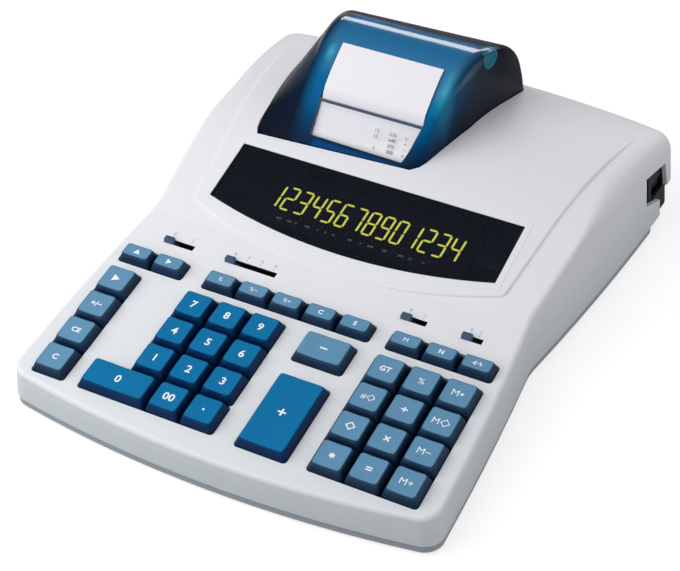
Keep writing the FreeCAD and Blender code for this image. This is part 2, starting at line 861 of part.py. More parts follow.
def hinge_bracket(place):
    """Plate hung from the casing's rear strip, with a pin through the cover's lug."""
    x0 = place + hinge_lug_width + cover_gap
    rim = hinge_y + hinge_eye_radius + cover_gap
    low = hinge_z - hinge_reach
    eye = hinge_pin_radius + hinge_plate_margin
    plate = solid_box(x0, x0 + hinge_plate, hinge_y - eye, rim + 2.0 * wall, low, hinge_z)
    plate = plate.fuse(Part.makeCylinder(eye, hinge_plate, Vec(x0, hinge_y, hinge_z), Vec(1, 0, 0)))
    pin = Part.makeCylinder(hinge_pin_radius, hinge_lug_width + cover_gap + hinge_plate / 2.0,
                            Vec(place, hinge_y, hinge_z), Vec(1, 0, 0))
    return in_cover_frame(plate.fuse(pin))


def hinge_notch(place):
    """Room in the casing's rear strip for one lug and its bracket."""
    back = hinge_y + hinge_eye_radius + cover_gap
    return in_cover_frame(solid_box(place - cover_gap, place + hinge_lug_width + cover_gap,
                                    cover_rear(place), back, hinge_z - 2.0 * hinge_eye_radius, big))


def cover_opening():
    """The hole in the casing top that takes the cover."""
    def rim(station, column, side):
        x = station[column] + side * cover_gap
        y = along_deck(station[0])
        return x, y + cover_skew_at(y) * (x - cover_skew_middle)

    left = [rim(s, 1, -1.0) for s in cover_stations]
    right = [rim(s, 4, 1.0) for s in cover_stations]
    left[0] = (left[0][0], left[0][1] - cover_gap)
    right[0] = (right[0][0], right[0][1] - cover_gap)
    left[-1] = (left[-1][0], left[-1][1] + cover_gap)
    right[-1] = (right[-1][0], right[-1][1] + cover_gap)
    outline = left + right[::-1]
    corners = [Vec(x, y, -draft_height) for x, y in outline]
    face = Part.Face(Part.makePolygon(corners + [corners[0]]))
    return in_cover_frame(face.extrude(Vec(0, 0, 2.0 * draft_height)))


def cover_ledge():
    """A lip under the front edge of the opening, on which the cover rests."""
    front = cover_stations[0]
    foot = front[5]
    x0 = front[1] + ledge_end_gap
    x1 = front[4] - ledge_end_gap
    y0 = along_deck(front[0]) - cover_gap
    corners = []
    for x in (x0, x1):
        y = y0 + cover_skew_front * (x - cover_skew_middle)
        corners.append((x, y - wall, y, y + ledge_depth))

    def strip(first, last, low, high):
        """Slanted strip between two of the depths, from one height to another."""
        outline = [(corners[0][0], corners[0][first]), (corners[1][0], corners[1][first]),
                   (corners[1][0], corners[1][last]), (corners[0][0], corners[0][last])]
        points = [Vec(x, y, low) for x, y in outline]
        return Part.Face(Part.makePolygon(points + [points[0]])).extrude(Vec(0, 0, high - low))

    web = strip(1, 2, foot - 2.0 * wall, foot + 2.0 * wall)
    shelf = strip(1, 3, foot - 2.0 * wall, foot - cover_gap)
    return in_cover_frame(web.fuse(shelf))


def ribbon(line, thickness):
    """Both sides of a strip whose one side runs through the points, in side view."""
    other = []
    for index, (y, z) in enumerate(line):
        before = line[max(index - 1, 0)]
        after = line[min(index + 1, len(line) - 1)]
        along = math.hypot(after[0] - before[0], after[1] - before[1])
        other.append((y - thickness * (after[1] - before[1]) / along, z + thickness * (after[0] - before[0]) / along))
    return line + other[::-1]


def paper_strip():
    """Paper that comes up behind the cover's front, out of the slot and back over the cover."""
    low = slot_y0 - 2.0 * slot_width
    high = slot_y0 - paper_lead
    inner = [(low, cover_top(low) - 3.0 * cover_wall), (high, cover_top(high) - 2.0 * cover_wall)]
    places = [slot_y1 - paper_lead]
    for step in range(paper_bends):
        places.append(slot_y1 + (paper_cut_y - slot_y1) * (step + 1.0) / paper_bends)
    outer = [(y, cover_top(y) + paper_rise) for y in places]
    start = (platen_y - platen_radius - paper_rise, platen_z)
    corners = [Vec(paper_middle - paper_width / 2, y, z) for y, z in ribbon([start] + inner + outer, paper_thickness)]
    face = Part.Face(Part.makePolygon(corners + [corners[0]]))
    return in_cover_frame(face.extrude(Vec(paper_width, 0, 0)))


# Printer
def printer_frame():
    """A U of steel plate: floor and two cheeks with the bearings, stepped up at the rear."""
    left = paper_middle - frame_half
    right = paper_middle + frame_half - frame_plate
    front = cover_place(0, platen_y - frame_ahead, 0).y
    step = from_front(base_rear - 2.0 * wall)
    back = cover_place(0, roll_y + frame_behind, 0).y
    floor_z = base_height + frame_floor
    step_z = base_height + rear_floor_height + 2.0 * wall
    top = floor_z + frame_height
    floor = solid_box(left, right + frame_plate, front, step, floor_z, floor_z + frame_plate)
    over = in_cover_frame(solid_box(-big, big, 0.0, big, platen_z + frame_above_shaft, big))
    cheeks = []
    for x in (left, right):
        cheek = solid_box(x, x + frame_plate, front, step, floor_z, top)
        cheek = cheek.fuse(solid_box(x, x + frame_plate, front, back, step_z, top))
        cheeks.append(cheek.cut(over))
    frame = fuse_all([floor] + cheeks)
    for y, z, radius in [(platen_y, platen_z, shaft_radius), (roll_y, roll_z, journal_radius)]:
        bore = Part.makeCylinder(radius + shaft_clearance, big, Vec(-big / 2.0, y, z), Vec(1, 0, 0))
        frame = frame.cut(in_cover_frame(bore))
    return frame


def platen_roller():
    half = platen_length / 2.0
    shaft_half = frame_half + shaft_end
    start = Vec(paper_middle - half, platen_y, platen_z)
    roller = Part.makeCylinder(platen_radius, platen_length, start, Vec(1, 0, 0))
    shaft = Part.makeCylinder(shaft_radius, 2 * shaft_half, Vec(paper_middle - shaft_half, platen_y, platen_z),
                              Vec(1, 0, 0))
    return in_cover_frame(roller.fuse(shaft).removeSplitter())


def paper_roll():
    """Roll of paper on its flanged spindle."""
    half = paper_width / 2.0
    start = Vec(paper_middle - half, roll_y, roll_z)
    roll = Part.makeCylinder(roll_radius, paper_width, start, Vec(1, 0, 0))
    flange_half = frame_half - frame_plate - spindle_gap
    spindle = Part.makeCylinder(spindle_radius, 2 * flange_half, Vec(paper_middle - flange_half, roll_y, roll_z),
                                Vec(1, 0, 0))
    journal = Part.makeCylinder(journal_radius, 2 * frame_half + shaft_end,
                                Vec(paper_middle - frame_half - shaft_end / 2.0, roll_y, roll_z), Vec(1, 0, 0))
    return in_cover_frame(fuse_all([roll, spindle, journal]))


# Boards and transformer
def circuit_boards():
    """The key board under the keys and the main board under the display."""
    top = -key_board_top
    key_board = solid_box(board_left, board_right, board_front, board_back, top - board_thickness, top)
    low = base_height + main_board_height
    main = solid_box(-main_board_half, main_board_half, from_front(main_board_front), from_front(main_board_rear),
                     low, low + board_thickness)
    return Part.makeCompound([on_deck(key_board), main])


def transformer():
    x0 = transformer_left
    x1 = transformer_left + transformer_width
    y0 = from_front(transformer_front)
    y1 = from_front(transformer_rear)
    floor = base_height + wall
    core = solid_box(x0, x1, y0 + core_inset, y1 - core_inset, floor, floor + core_height)
    coil = rounded_block(x0 + coil_inset, x1 - coil_inset, y0, y1, floor + coil_low, floor + coil_high, coil_corner)
    strap = solid_box(x0 - strap_reach, x1 + strap_reach, y0 + strap_inset, y1 - strap_inset,
                      floor, floor + strap_thickness)
    return fuse_all([core, coil, strap])


def key_plate(keys):
    """Guide plate under the keys, with a square hole for every post."""
    plate = solid_box(plate_left, plate_right, plate_front, plate_back, -plate_top - plate_thickness, -plate_top)
    half = post_size / 2.0 + post_clearance
    holes = []
    for name, x, y, width, depth in keys:
        for px, py in post_places(x, y, width, depth):
            holes.append(solid_box(px - half, px + half, py - half, py + half, -2.0 * post_end, 0.0))
    return on_deck(plate.cut(Part.makeCompound(holes)))


# Fixings
def screw_bosses():
    posts = []
    for x, s in screws:
        post = Part.makeCylinder(boss_radius, draft_height, point(x, s, boss_low))
        hole = Part.makeCylinder(screw_radius + screw_clearance, screw_length + screw_bore_extra, point(x, s, 0.0))
        posts.append((post, hole))
    return posts


def rubber_feet():
    shapes = []
    for x, s in feet:
        foot = Part.makeCylinder(foot_radius, base_height + foot_sink, Vec(x, from_front(s), 0.0))
        low = [e for e in foot.Edges if e.BoundBox.ZMax < foot_round]
        shapes.append(foot.makeFillet(foot_round, low))
    return Part.makeCompound(shapes)


def case_screws():
    shapes = []
    for x, s in screws:
        y = from_front(s)
        a = cross_half_length
        b = cross_half_width
        top = base_height + screw_sink + cross_depth
        head = Part.makeCylinder(screw_head_radius, screw_head_height, point(x, s, screw_sink))
        shank = Part.makeCylinder(screw_radius, screw_length, point(x, s, screw_sink))
        cross = fuse_all([
            solid_box(x - a, x + a, y - b, y + b, 0.0, top),
            solid_box(x - b, x + b, y - a, y + a, 0.0, top),
        ])
        shapes.append(head.fuse(shank).cut(cross))
    return Part.makeCompound(shapes)


# Casings
def upper_casing(keys):
    inside = body_inside()
    outside = body_outside().fuse(panel_solid().common(plan_solid(0.0)))
    shell = outside.cut(inside)
    shell = shell.cut(slab(-base_height, parting_height))
    shell = shell.cut(behind(side_rear, base_rear_bow, 0.0, base_height + lip_height))
    shell = shell.cut(window_block(0.0, -window_sink - window_thickness, draft_height))
    shell = shell.cut(window_block(window_ledge, -draft_height / 2.0, draft_height))
    for cutter in well_cutters(keys) + switch_cutters():
        shell = shell.cut(cutter)
    shell = shell.cut(cover_opening())
    shell = shell.fuse(cover_ledge())
    for place in hinge_places:
        shell = shell.cut(hinge_notch(place))
        shell = shell.fuse(hinge_bracket(place))
    for post, hole in screw_bosses():
        shell = shell.fuse(post.common(inside)).cut(hole)
    return shell.cut(switch_notch())


def switch_notch():
    """Opening in the right wall beside the power switch."""
    corners = [point(plan_rear[0] - notch_depth, s, z) for s, z in notch_corners]
    face = Part.Face(Part.makePolygon(corners + [corners[0]]))
    return face.extrude(Vec(2.0 * notch_depth, 0, 0))


def lower_casing():
    """Tray with a step up behind, which closes the overhang from below."""
    ahead = behind(base_rear, base_rear_bow, 0.0, draft_height)
    skirt = plan_solid(parting_inset).common(slab(0.0, parting_height - parting_gap))
    inner = plan_solid(wall + tongue_gap)
    tongue = inner.common(slab(0.0, tongue_height))
    tray = skirt.fuse(tongue).cut(ahead)
    hollow = plan_solid(wall + tongue_gap + tongue_width).common(slab(wall, draft_height))
    tray = tray.cut(hollow.cut(behind(base_rear - wall, base_rear_bow, 0.0, 2.0 * draft_height)))
    step = inner.common(slab(0.0, rear_floor_height + wall))
    step = step.common(behind(base_rear - wall, base_rear_bow, 0.0, draft_height))
    step = step.cut(behind(base_rear, base_rear_bow, -base_height, base_height + rear_floor_height))
    tray = tray.fuse(step)
    tray = tray.cut(panel_room())
    for x, s in screws:
        tray = tray.fuse(Part.makeCylinder(boss_radius, boss_low - boss_gap, point(x, s, 0.0)))
    for x, s in screws:
        head_room = screw_sink + screw_head_height
        tray = tray.cut(Part.makeCylinder(screw_radius + screw_clearance, draft_height, point(x, s, -base_height)))
        tray = tray.cut(Part.makeCylinder(screw_head_radius + tongue_gap, base_height + head_room,
                                          point(x, s, -base_height)))
    for x, s in feet:
        tray = tray.cut(Part.makeCylinder(foot_radius, base_height + foot_sink, point(x, s, -base_height)))
    return tray.removeSplitter()


def panel_room():
    """Space for the rear panel, with its gap."""
    return solid_box(rear_panel_left - rear_panel_gap, big, from_front(base_rear) - rear_panel_wall,
                     from_front(rear_panel_end) + rear_panel_gap, 0.0, base_height + rear_panel_top)


def rear_panel():
    """Black box at the right rear corner, open on top, with the power switch and the mains inlet."""
    def block(inset, draw_in, high):
        low = base_height + rear_panel_low + draw_in
        front = from_front(base_rear) + rear_panel_gap + draw_in
        form = solid_box(rear_panel_left + draw_in, big, front, back - draw_in, low, high)
        return plan_solid(inset + draw_in).common(form)

    gap = wall + rear_panel_gap
    w = rear_panel_wall
    back = from_front(rear_panel_end)
    top = base_height + rear_panel_top
    outer = block(gap, 0.0, top)
    shell = outer.cut(block(gap, w, top + w))
    shell = shell.cut(rocker_block(rocker_clearance, 2.0 * rocker_thickness))
    z = base_height + inlet_height
    half = inlet_width / 2.0
    reach = inlet_length / 2.0 - half
    deep = back - inlet_depth
    mouth = solid_box(inlet_x - reach, inlet_x + reach, deep, back + w, z - half, z + half)
    for side in (-1.0, 1.0):
        end = Part.makeCylinder(half, inlet_depth + w, Vec(inlet_x + side * reach, deep, z), Vec(0, 1, 0))
        mouth = mouth.fuse(end)
    cup = solid_box(inlet_x - reach - half - w, inlet_x + reach + half + w, deep - w, back,
                    z - half - w, z + half + w)
    shell = shell.fuse(cup.common(outer)).cut(mouth)
    for side in (-1.0, 1.0):
        start = Vec(inlet_x + side * reach, deep - w / 2.0, z)
        length = inlet_depth + w / 2.0 - inlet_pin_short
        shell = shell.fuse(Part.makeCylinder(inlet_pin_radius, length, start, Vec(0, 1, 0)))
    return shell.removeSplitter()


def rocker_block(grow, depth):
    half_length = rocker_length / 2.0 + grow
    half_width = rocker_width / 2.0 + grow
    y = from_front(rocker_from_front)
    z = base_height + rocker_height
    return solid_box(rocker_face - depth, rocker_face + depth, y - half_length, y + half_length,
                     z - half_width, z + half_width)


def power_rocker():
    """Rocker on the right of the rear panel, tilted one way, on an upright pivot."""
    a = rocker_length / 2.0
    back = rocker_face - rocker_thickness
    y = from_front(rocker_from_front)
    z = base_height + rocker_height - rocker_width / 2.0
    corners = [
        Vec(back, y - a + rocker_taper, z),
        Vec(back, y + a - rocker_taper, z),
        Vec(rocker_face, y + a, z),
        Vec(rocker_face - rocker_dip, y, z),
        Vec(rocker_face, y - a, z),
    ]
    rocker = Part.Face(Part.makePolygon(corners + [corners[0]])).extrude(Vec(0, 0, rocker_width))
    rocker.rotate(Vec(rocker_pivot_x, y, z), Vec(0, 0, 1), -rocker_tilt)
    return rocker


def build():
    keys = block_keys()
    for name, x, y, width, depth in keys:
        save(name, on_deck(make_key(x, y, width, depth)))
    for index, (left, right) in enumerate(switch_slots):
        save("switch_knob_" + str(index + 1), make_knob(left))
    save("upper_casing", upper_casing(keys))
    save("lower_casing", lower_casing())
    save("rear_panel", rear_panel())
    save("power_rocker", power_rocker())
    save("display_window", display_window())
    save("display_tube", display_tube())
    save("printer_cover", printer_cover())
    save("paper_strip", paper_strip())
    save("printer_frame", printer_frame())
    save("platen_roller", platen_roller())
    save("paper_roll", paper_roll())
    save("circuit_boards", circuit_boards())
    save("transformer", transformer())
    save("key_plate", key_plate(keys))
    save("rubber_feet", rubber_feet())
    save("case_screws", case_screws())


build()
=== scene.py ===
import math
import bpy
import numpy as np
from mathutils import Matrix, Vector


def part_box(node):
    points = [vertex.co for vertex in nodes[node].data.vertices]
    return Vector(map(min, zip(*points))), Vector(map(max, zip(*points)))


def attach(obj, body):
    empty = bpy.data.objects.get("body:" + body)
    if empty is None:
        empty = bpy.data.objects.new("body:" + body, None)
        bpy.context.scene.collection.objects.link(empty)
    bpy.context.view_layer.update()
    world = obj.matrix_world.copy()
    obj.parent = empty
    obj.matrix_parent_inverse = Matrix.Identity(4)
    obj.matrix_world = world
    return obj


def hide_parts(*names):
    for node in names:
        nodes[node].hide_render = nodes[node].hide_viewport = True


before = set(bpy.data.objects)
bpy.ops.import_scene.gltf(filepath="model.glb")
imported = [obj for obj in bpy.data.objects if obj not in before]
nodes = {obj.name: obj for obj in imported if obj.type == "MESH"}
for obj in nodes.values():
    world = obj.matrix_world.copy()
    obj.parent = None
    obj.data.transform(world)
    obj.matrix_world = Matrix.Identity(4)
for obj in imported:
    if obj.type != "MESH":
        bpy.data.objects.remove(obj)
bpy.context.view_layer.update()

# Looks of a desktop printing calculator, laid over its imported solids.
# Lengths in the dictionaries are millimetres. Meshes are written in metres.
print("frame loaded:", len(nodes), "nodes")

# The sloping faces: where each one's own zero lies, and how steeply it rises to the rear in degrees
deckSpot = dict(origin=(0.0, -145.477, 25.088), slope=7.0)
coverSpot = dict(origin=(0.0, -146.111, 30.249), slope=7.0)
panelSpot = dict(origin=(0.0, -33.394, 40.15), slope=12.9)


def rising(spot):
    # cosine and sine of a face's slope
    turn = math.radians(spot["slope"])
    return math.cos(turn), math.sin(turn)


def toWorld(points, spot):
    # turned up by the slope about the width, moved to the spot's zero, and put in metres
    x, y, z = np.moveaxis(np.asarray(points, dtype=float), -1, 0)
    c, s = rising(spot)
    ox, oy, oz = spot["origin"]
    return np.stack([ox + x, oy + y * c - z * s, oz + y * s + z * c], axis=-1) / 1000.0


def spotOn(base, y, z, slope):
    # a face of its own, at a place in another's directions and steeper than that one by the slope
    origin = toWorld((0.0, y, z), base) * 1000.0
    return dict(origin=tuple(origin.tolist()), slope=base["slope"] + slope)


def meshPoints(mesh):
    flat = np.empty(len(mesh.vertices) * 3, dtype=np.float32)
    mesh.vertices.foreach_get("co", flat)
    return flat.reshape(-1, 3)


def nodeBox(node, spot):
    # lowest and highest corner of a node measured along a sloping face, in millimetres
    x, y, z = (meshPoints(nodes[node].data) * 1000.0 - np.array(spot["origin"])).T
    c, s = rising(spot)
    local = np.stack([x, y * c + z * s, z * c - y * s], axis=-1)
    return local.min(axis=0), local.max(axis=0)


# Shader maths

class Number:
    # a number in a node tree, so that an expression on it adds the Math nodes
    def __init__(self, owner, socket):
        self.owner = owner
        self.socket = socket

    def maths(self, operation, a, b=0.0):
        return Number(self.owner, self.owner.node("ShaderNodeMath", {"operation": operation}, {0: a, 1: b}))

    def __add__(self, other):
        return self.maths("ADD", self, other)

    def __sub__(self, other):
        return self.maths("SUBTRACT", self, other)

    def __rsub__(self, other):
        return self.maths("SUBTRACT", other, self)

    def __mul__(self, other):
        return self.maths("MULTIPLY", self, other)

    def __gt__(self, other):
        return self.maths("GREATER_THAN", self, other)

    def __lt__(self, other):
        return self.maths("LESS_THAN", self, other)

    __radd__ = __add__
    __rmul__ = __mul__

    def clipped(self):
        return Number(self.owner, self.owner.node("ShaderNodeClamp", {}, {0: self}))

    def sine(self):
        return self.maths("SINE", self)

    def size(self):
        return self.maths("ABSOLUTE", self)

    def past(self, start, rate):
        # nought up to the start, then growing by the rate for each millimetre, up to one
        return ((self - start) * rate).clipped()

    def near(self, middle, rate):
        # one at the middle, falling by the rate for each millimetre to either side, down to nought
        return (1.0 - (self - middle).size() * rate).clipped()


class Shading:
    # a node tree, and one way to add a node to it
    def __init__(self, owner):
        owner.use_nodes = True
        self.tree = owner.node_tree
        self.tree.nodes.clear()

    def node(self, kind, settings, sockets, out=0):
        made = self.tree.nodes.new(kind)
        for key, value in settings.items():
            setattr(made, key, value)
        for key, value in sockets.items():
            self.feed(made.inputs[key], value)
        return made.outputs[out] if made.outputs else made

    def feed(self, socket, value):
        if isinstance(value, Number):
            value = value.socket
        if isinstance(value, bpy.types.NodeSocket):
            self.tree.links.new(value, socket)
        else:
            socket.default_value = value


class Finish(Shading):
    # one material: a Principled shader, and short ways to add what feeds it
    def __init__(self, name, **constants):
        self.material = bpy.data.materials.new(name)
        super().__init__(self.material)
        self.shader = self.tree.nodes.new("ShaderNodeBsdfPrincipled")
        self.output = self.tree.nodes.new("ShaderNodeOutputMaterial")
        self.tree.links.new(self.shader.outputs[0], self.output.inputs["Surface"])
        for socket, value in constants.items():
            self.put(socket.replace("_", " "), value)

    def put(self, socket, value):
        self.feed(self.shader.inputs[socket], value)

    def place(self):
        return self.node("ShaderNodeTexCoord", {}, {}, out=3)

    def axis(self, number, spot=None):
        # one coordinate in millimetres, along a sloping face where a spot is given
        where = self.place()
        if spot:
            where = self.node("ShaderNodeMapping", {"vector_type": "TEXTURE"}, {
                "Vector": where,
                "Location": tuple(v / 1000.0 for v in spot["origin"]),
                "Rotation": (math.radians(spot["slope"]), 0.0, 0.0),
            })
        apart = self.node("ShaderNodeSeparateXYZ", {}, {0: where}, out=number)
        return Number(self, apart) * 1000.0

    def noise(self, grain, detail=2.0, rough=0.5, stretch=(1.0, 1.0, 1.0)):
        # noise whose lumps are about the given size in millimetres
        where = self.node("ShaderNodeMapping", {}, {"Vector": self.place(), "Scale": stretch})
        made = self.node("ShaderNodeTexNoise", {}, {
            "Vector": where, "Scale": 1000.0 / grain, "Detail": detail, "Roughness": rough})
        return Number(self, made)

    def tone(self):
        return Number(self, self.node("ShaderNodeAttribute", {"attribute_name": "tone"}, {}, out=2))

    def blend(self, share, first, second, kind="MIX"):
        settings = {"data_type": "RGBA", "blend_type": kind}
        return self.node("ShaderNodeMix", settings, {0: share, 6: first, 7: second}, out=2)

    def uneven(self, middle, spread, grain, detail=2.0):
        # a value that wanders about its middle
        return (self.noise(grain, detail) - 0.5) * spread + middle

    def bump(self, height, depth):
        # height runs from nought to one, depth is in millimetres
        self.put("Normal", self.node("ShaderNodeBump", {}, {"Height": height, "Distance": depth / 1000.0}))


def shade(red, green, blue):
    # a colour as it is seen on a screen, made linear
    linear = [v / 12.92 if v <= 10.0 / 255.0 else ((v + 0.055) / 1.055) ** 2.4
              for v in (red / 255.0, green / 255.0, blue / 255.0)]
    return (*linear, 1.0)


def dimmed(colour, share):
    # a linear colour with less light in it
    return (*[v * share for v in colour[:3]], 1.0)


def scaled(colour, share):
    # a screen colour made darker or lighter, then linear
    return shade(*[v * share for v in colour])


# Finishes

# moulded plastics: name, colour, roughness, and the size and depth of the surface's grain
plasticLooks = dict(
    # the lower casing is painted a darker grey than the upper casing, as painted shade along the bottom band
    base=("baseGrey", (168, 174, 180), 0.5, 0.5, 0.02),
    black=("blackPlastic", (28, 29, 32), 0.4, 0.4, 0.015),
    knob=("knobPlastic", (66, 92, 120), 0.4, 0.3, 0.01),
    # the key plate under the wells is painted near black, as painted shade in the gaps between the keys
    wellShade=("keyPlateShade", (20, 24, 32), 0.6, 0.6, 0.02),
)


def mouldedPlastic(name, colour, rough, grain, depth):
    # moulded plastic: faint cloudiness in the colour, fine texture in the surface, uneven gloss
    made = Finish(name, Specular_IOR_Level=0.45)
    full = shade(*colour)
    made.put("Base Color", made.blend(made.noise(24.0, 3.0), dimmed(full, 0.92), full))
    made.put("Roughness", made.uneven(rough, 0.12, 9.0))
    made.bump(made.noise(grain, 1.0), depth)
    return made.material


casingLook = dict(
    # deck and low: the walls are painted darker and bluer low down than the deck, as painted shade
    deck=(229, 230, 234), low=(206, 217, 220), inside=(18, 19, 22),
    grime=(0.6, 0.6, 0.58, 1.0), grimeShare=0.06, rough=0.42,
    wallShadeFade=(4.0, 0.03),  # height where the walls' painted shade starts to fade into the deck colour, and how fast
    # the row of switch slots, in the deck's directions: middle, half width, ends, how far down it is painted
    # dark as shade
    slotAt=95.5, slotHalf=1.85, slotsEnd=94.0, slotDeep=-0.25,
    # under the pane, painted dark as shade, in the panel's directions: its front bows back by the square of
    # the width
    paneFront=6.2, paneBow=0.0018, paneBack=60.0, paneEnd=83.0, paneDeep=-0.4,
)


def casingPlastic():
    # light grey plastic, with painted shade: darker and bluer on the walls low down, near black inside the
    # switch slots and under the pane
    look = casingLook
    made = Finish("casingGrey", Specular_IOR_Level=0.4)
    # painted shade: walls darker and bluer towards the bottom, fading into the deck colour higher up
    walls = made.blend(made.axis(2).past(*look["wallShadeFade"]), shade(*look["low"]), shade(*look["deck"]))
    grime = made.blend(made.noise(38.0, 4.0), look["grime"], (1.0, 1.0, 1.0, 1.0))
    walls = made.blend(look["grimeShare"], walls, grime, "MULTIPLY")
    aside = made.axis(0).size()
    along, up = made.axis(1, deckSpot), made.axis(2, deckSpot)
    inRow = (along - look["slotAt"]).size() < look["slotHalf"]
    inSlot = inRow * (up < look["slotDeep"]) * (aside < look["slotsEnd"])
    along, up = made.axis(1, panelSpot), made.axis(2, panelSpot)
    behindFront = along - aside * aside * look["paneBow"] > look["paneFront"]
    inPane = behindFront * (along < look["paneBack"]) * (aside < look["paneEnd"])
    underPane = inPane * (up < look["paneDeep"])
    # painted shade: near black where the surface lies inside a switch slot or under the pane
    made.put("Base Color", made.blend((inSlot + underPane).clipped(), walls, shade(*look["inside"])))
    made.put("Roughness", made.uneven(look["rough"], 0.16, 14.0, 3.0))
    made.bump(made.noise(0.45, 1.5), 0.014)
    return made.material


keyLook = dict(
    # the side colours are much darker than the tops, as painted shade on the keys' walls
    strong=(0, 106, 156), strongShadedSide=(2, 32, 76), pale=(92, 138, 170), paleShadedSide=(13, 35, 64),
    rough=0.42, polished=0.06,  # the top is smoother than the sides by this much
)


def keyPlastic(name, top, side):
    # cap colour by the tone stored along its profile: skirt and walls painted dark as painted shade, lighter
    # face, uneven satin
    made = Finish(name, Specular_IOR_Level=0.16)
    tone = made.tone()
    lighter = shade(*[v * 1.06 + 3 for v in top])
    face = made.blend(made.noise(5.0) * 0.5, shade(*top), lighter)
    # painted shade: the dark side colour up the walls, turning into the face colour over the edge
    made.put("Base Color", made.blend(tone.clipped(), shade(*side), face))
    made.put("Roughness", made.uneven(keyLook["rough"], 0.1, 3.0) - tone * keyLook["polished"])
    made.bump(made.noise(0.3, 1.0), 0.008)
    return made.material


# Places on the cover are in its own directions: across the width, along to the rear, and up.
# A pair of place and rate is where a fade starts or has its middle, and how fast it goes.
coverLook = dict(
    # the two teals are painted lighter high up and darker low down, as painted light through the plastic;
    # skirt is near black painted shade
    top=(0, 104, 154), deep=(0, 62, 112), skirt=(16, 21, 34), clear=(222, 226, 234),
    # glint is painted light beside the paper; the colour after it is painted light in the round patch at the
    # right end of the roll
    glint=(56, 176, 200), rollEndLight=(34, 132, 158), lip=(0, 66, 122),
    # where the painted shade at the side skirts, behind the ridge and down by the foot fades in or out
    middle=-20.0, walls=(35.0, 0.12), wallShare=0.92, behindRidge=(263.0, 0.3),
    aboveFoot=(-2.0, 0.05), upper=(6.0, 0.045), cloud=0.2,
    glints=[dict(across=(-54.5, 0.3), along=(226.0, 0.16), share=0.8),
            dict(across=(15.5, 0.22), along=(221.0, 0.07), share=0.75)],
    # the round patch of painted light at the right end of the roll: middle, radius, share, and width and share
    # of its brighter rim
    rollEndLightAt=(24.3, 261.5, 28.0), rollEndLightRadius=7.0, rollEndLightShare=0.6, rollEndLightRim=0.8, rollEndRimShare=0.3,
    clearLeft=-50.6, clearRight=10.4, clearLow=187.6, clearHigh=202.8, slant=0.4,
    lipLeft=-47.0, lipRight=8.0, lipHigh=186.0, lipShare=0.85,
    solid=0.99, seeThrough=0.92, polish=(27.0, 0.3), coat=0.9, leastCoat=0.08,
)


def clearPatch(across, along):
    # one inside the clear plate before the paper, else nought; its right side leans in
    look = coverLook
    rightEdge = (along - look["clearHigh"]) * look["slant"] + look["clearRight"]
    between = (across > look["clearLeft"]) * (across < rightEdge)
    return between * (along > look["clearLow"]) * (along < look["clearHigh"])


def coverPlastic():
    # tinted see-through plastic with painted light and shade: teal, painted lighter high up over the roll as
    # light through the plastic, painted shade that makes it nearly black at the skirts and behind the ridge,
    # painted glints where light gathers beside the paper, a round patch of painted light at the right end of
    # the roll, clear before the paper's lower part; only the ridge is polished enough to mirror
    look = coverLook
    made = Finish("coverTint", Specular_IOR_Level=0.04, Roughness=0.3, IOR=1.5, Coat_Roughness=0.08)
    across, along, up = places = [made.axis(number, coverSpot) for number in (0, 1, 2)]
    cloud = (made.noise(16.0) - 0.5) * look["cloud"]
    # painted light: the teal lighter higher up, over the roll
    start, rate = look["upper"]
    tint = made.blend(((up - start) * rate + cloud).clipped(), shade(*look["deep"]), shade(*look["top"]))
    # painted shade: near black at the side skirts, down by the foot and behind the ridge
    walls = (across - look["middle"]).size().past(*look["walls"])
    notBehind = 1.0 - along.past(*look["behindRidge"])
    lit = up.past(*look["aboveFoot"]) * (1.0 - walls * look["wallShare"]) * notBehind
    tint = made.blend((lit + cloud * 0.5).clipped(), shade(*look["skirt"]), tint)
    # painted glints beside the paper
    left, right = [across.near(*spot["across"]) * along.near(*spot["along"]) * spot["share"]
                   for spot in look["glints"]]
    tint = made.blend((left + right).clipped(), tint, shade(*look["glint"]))
    # painted light: a lighter round patch with a brighter rim at the right end of the roll
    reach = [(where - middle) * (where - middle) for where, middle in zip(places, look["rollEndLightAt"])]
    reach = reach[0] + reach[1] + reach[2]
    disc = reach < look["rollEndLightRadius"] ** 2
    rim = disc * (reach > (look["rollEndLightRadius"] - look["rollEndLightRim"]) ** 2)
    tint = made.blend(disc * look["rollEndLightShare"] + rim * look["rollEndRimShare"], tint, shade(*look["rollEndLight"]))
    lip = (along < look["lipHigh"]) * (across > look["lipLeft"]) * (across < look["lipRight"])
    tint = made.blend(lip * look["lipShare"], tint, shade(*look["lip"]))
    window = clearPatch(across, along)
    made.put("Base Color", made.blend(window, tint, shade(*look["clear"])))
    made.put("Alpha", look["solid"] - window * look["seeThrough"])
    made.put("Coat Weight", up.past(*look["polish"]) * notBehind * look["coat"] + look["leastCoat"])
    made.bump(made.noise(40.0, 1.0), 0.04)
    return made.material


def paperFinish():
    # uncoated paper: faint fibres, matt
    made = Finish("paper", Specular_IOR_Level=0.2)
    fibres = made.noise(0.5, 3.0, 0.6, (1.0, 3.0, 1.0))
    made.put("Base Color", made.blend(fibres, shade(228, 226, 232), shade(242, 240, 244)))
    made.put("Roughness", fibres * 0.1 + 0.75)
    made.bump(fibres, 0.01)
    return made.material


rollLook = dict(face=(232, 230, 233), line=(206, 205, 208), ringRate=9.0)  # radians for each millimetre out


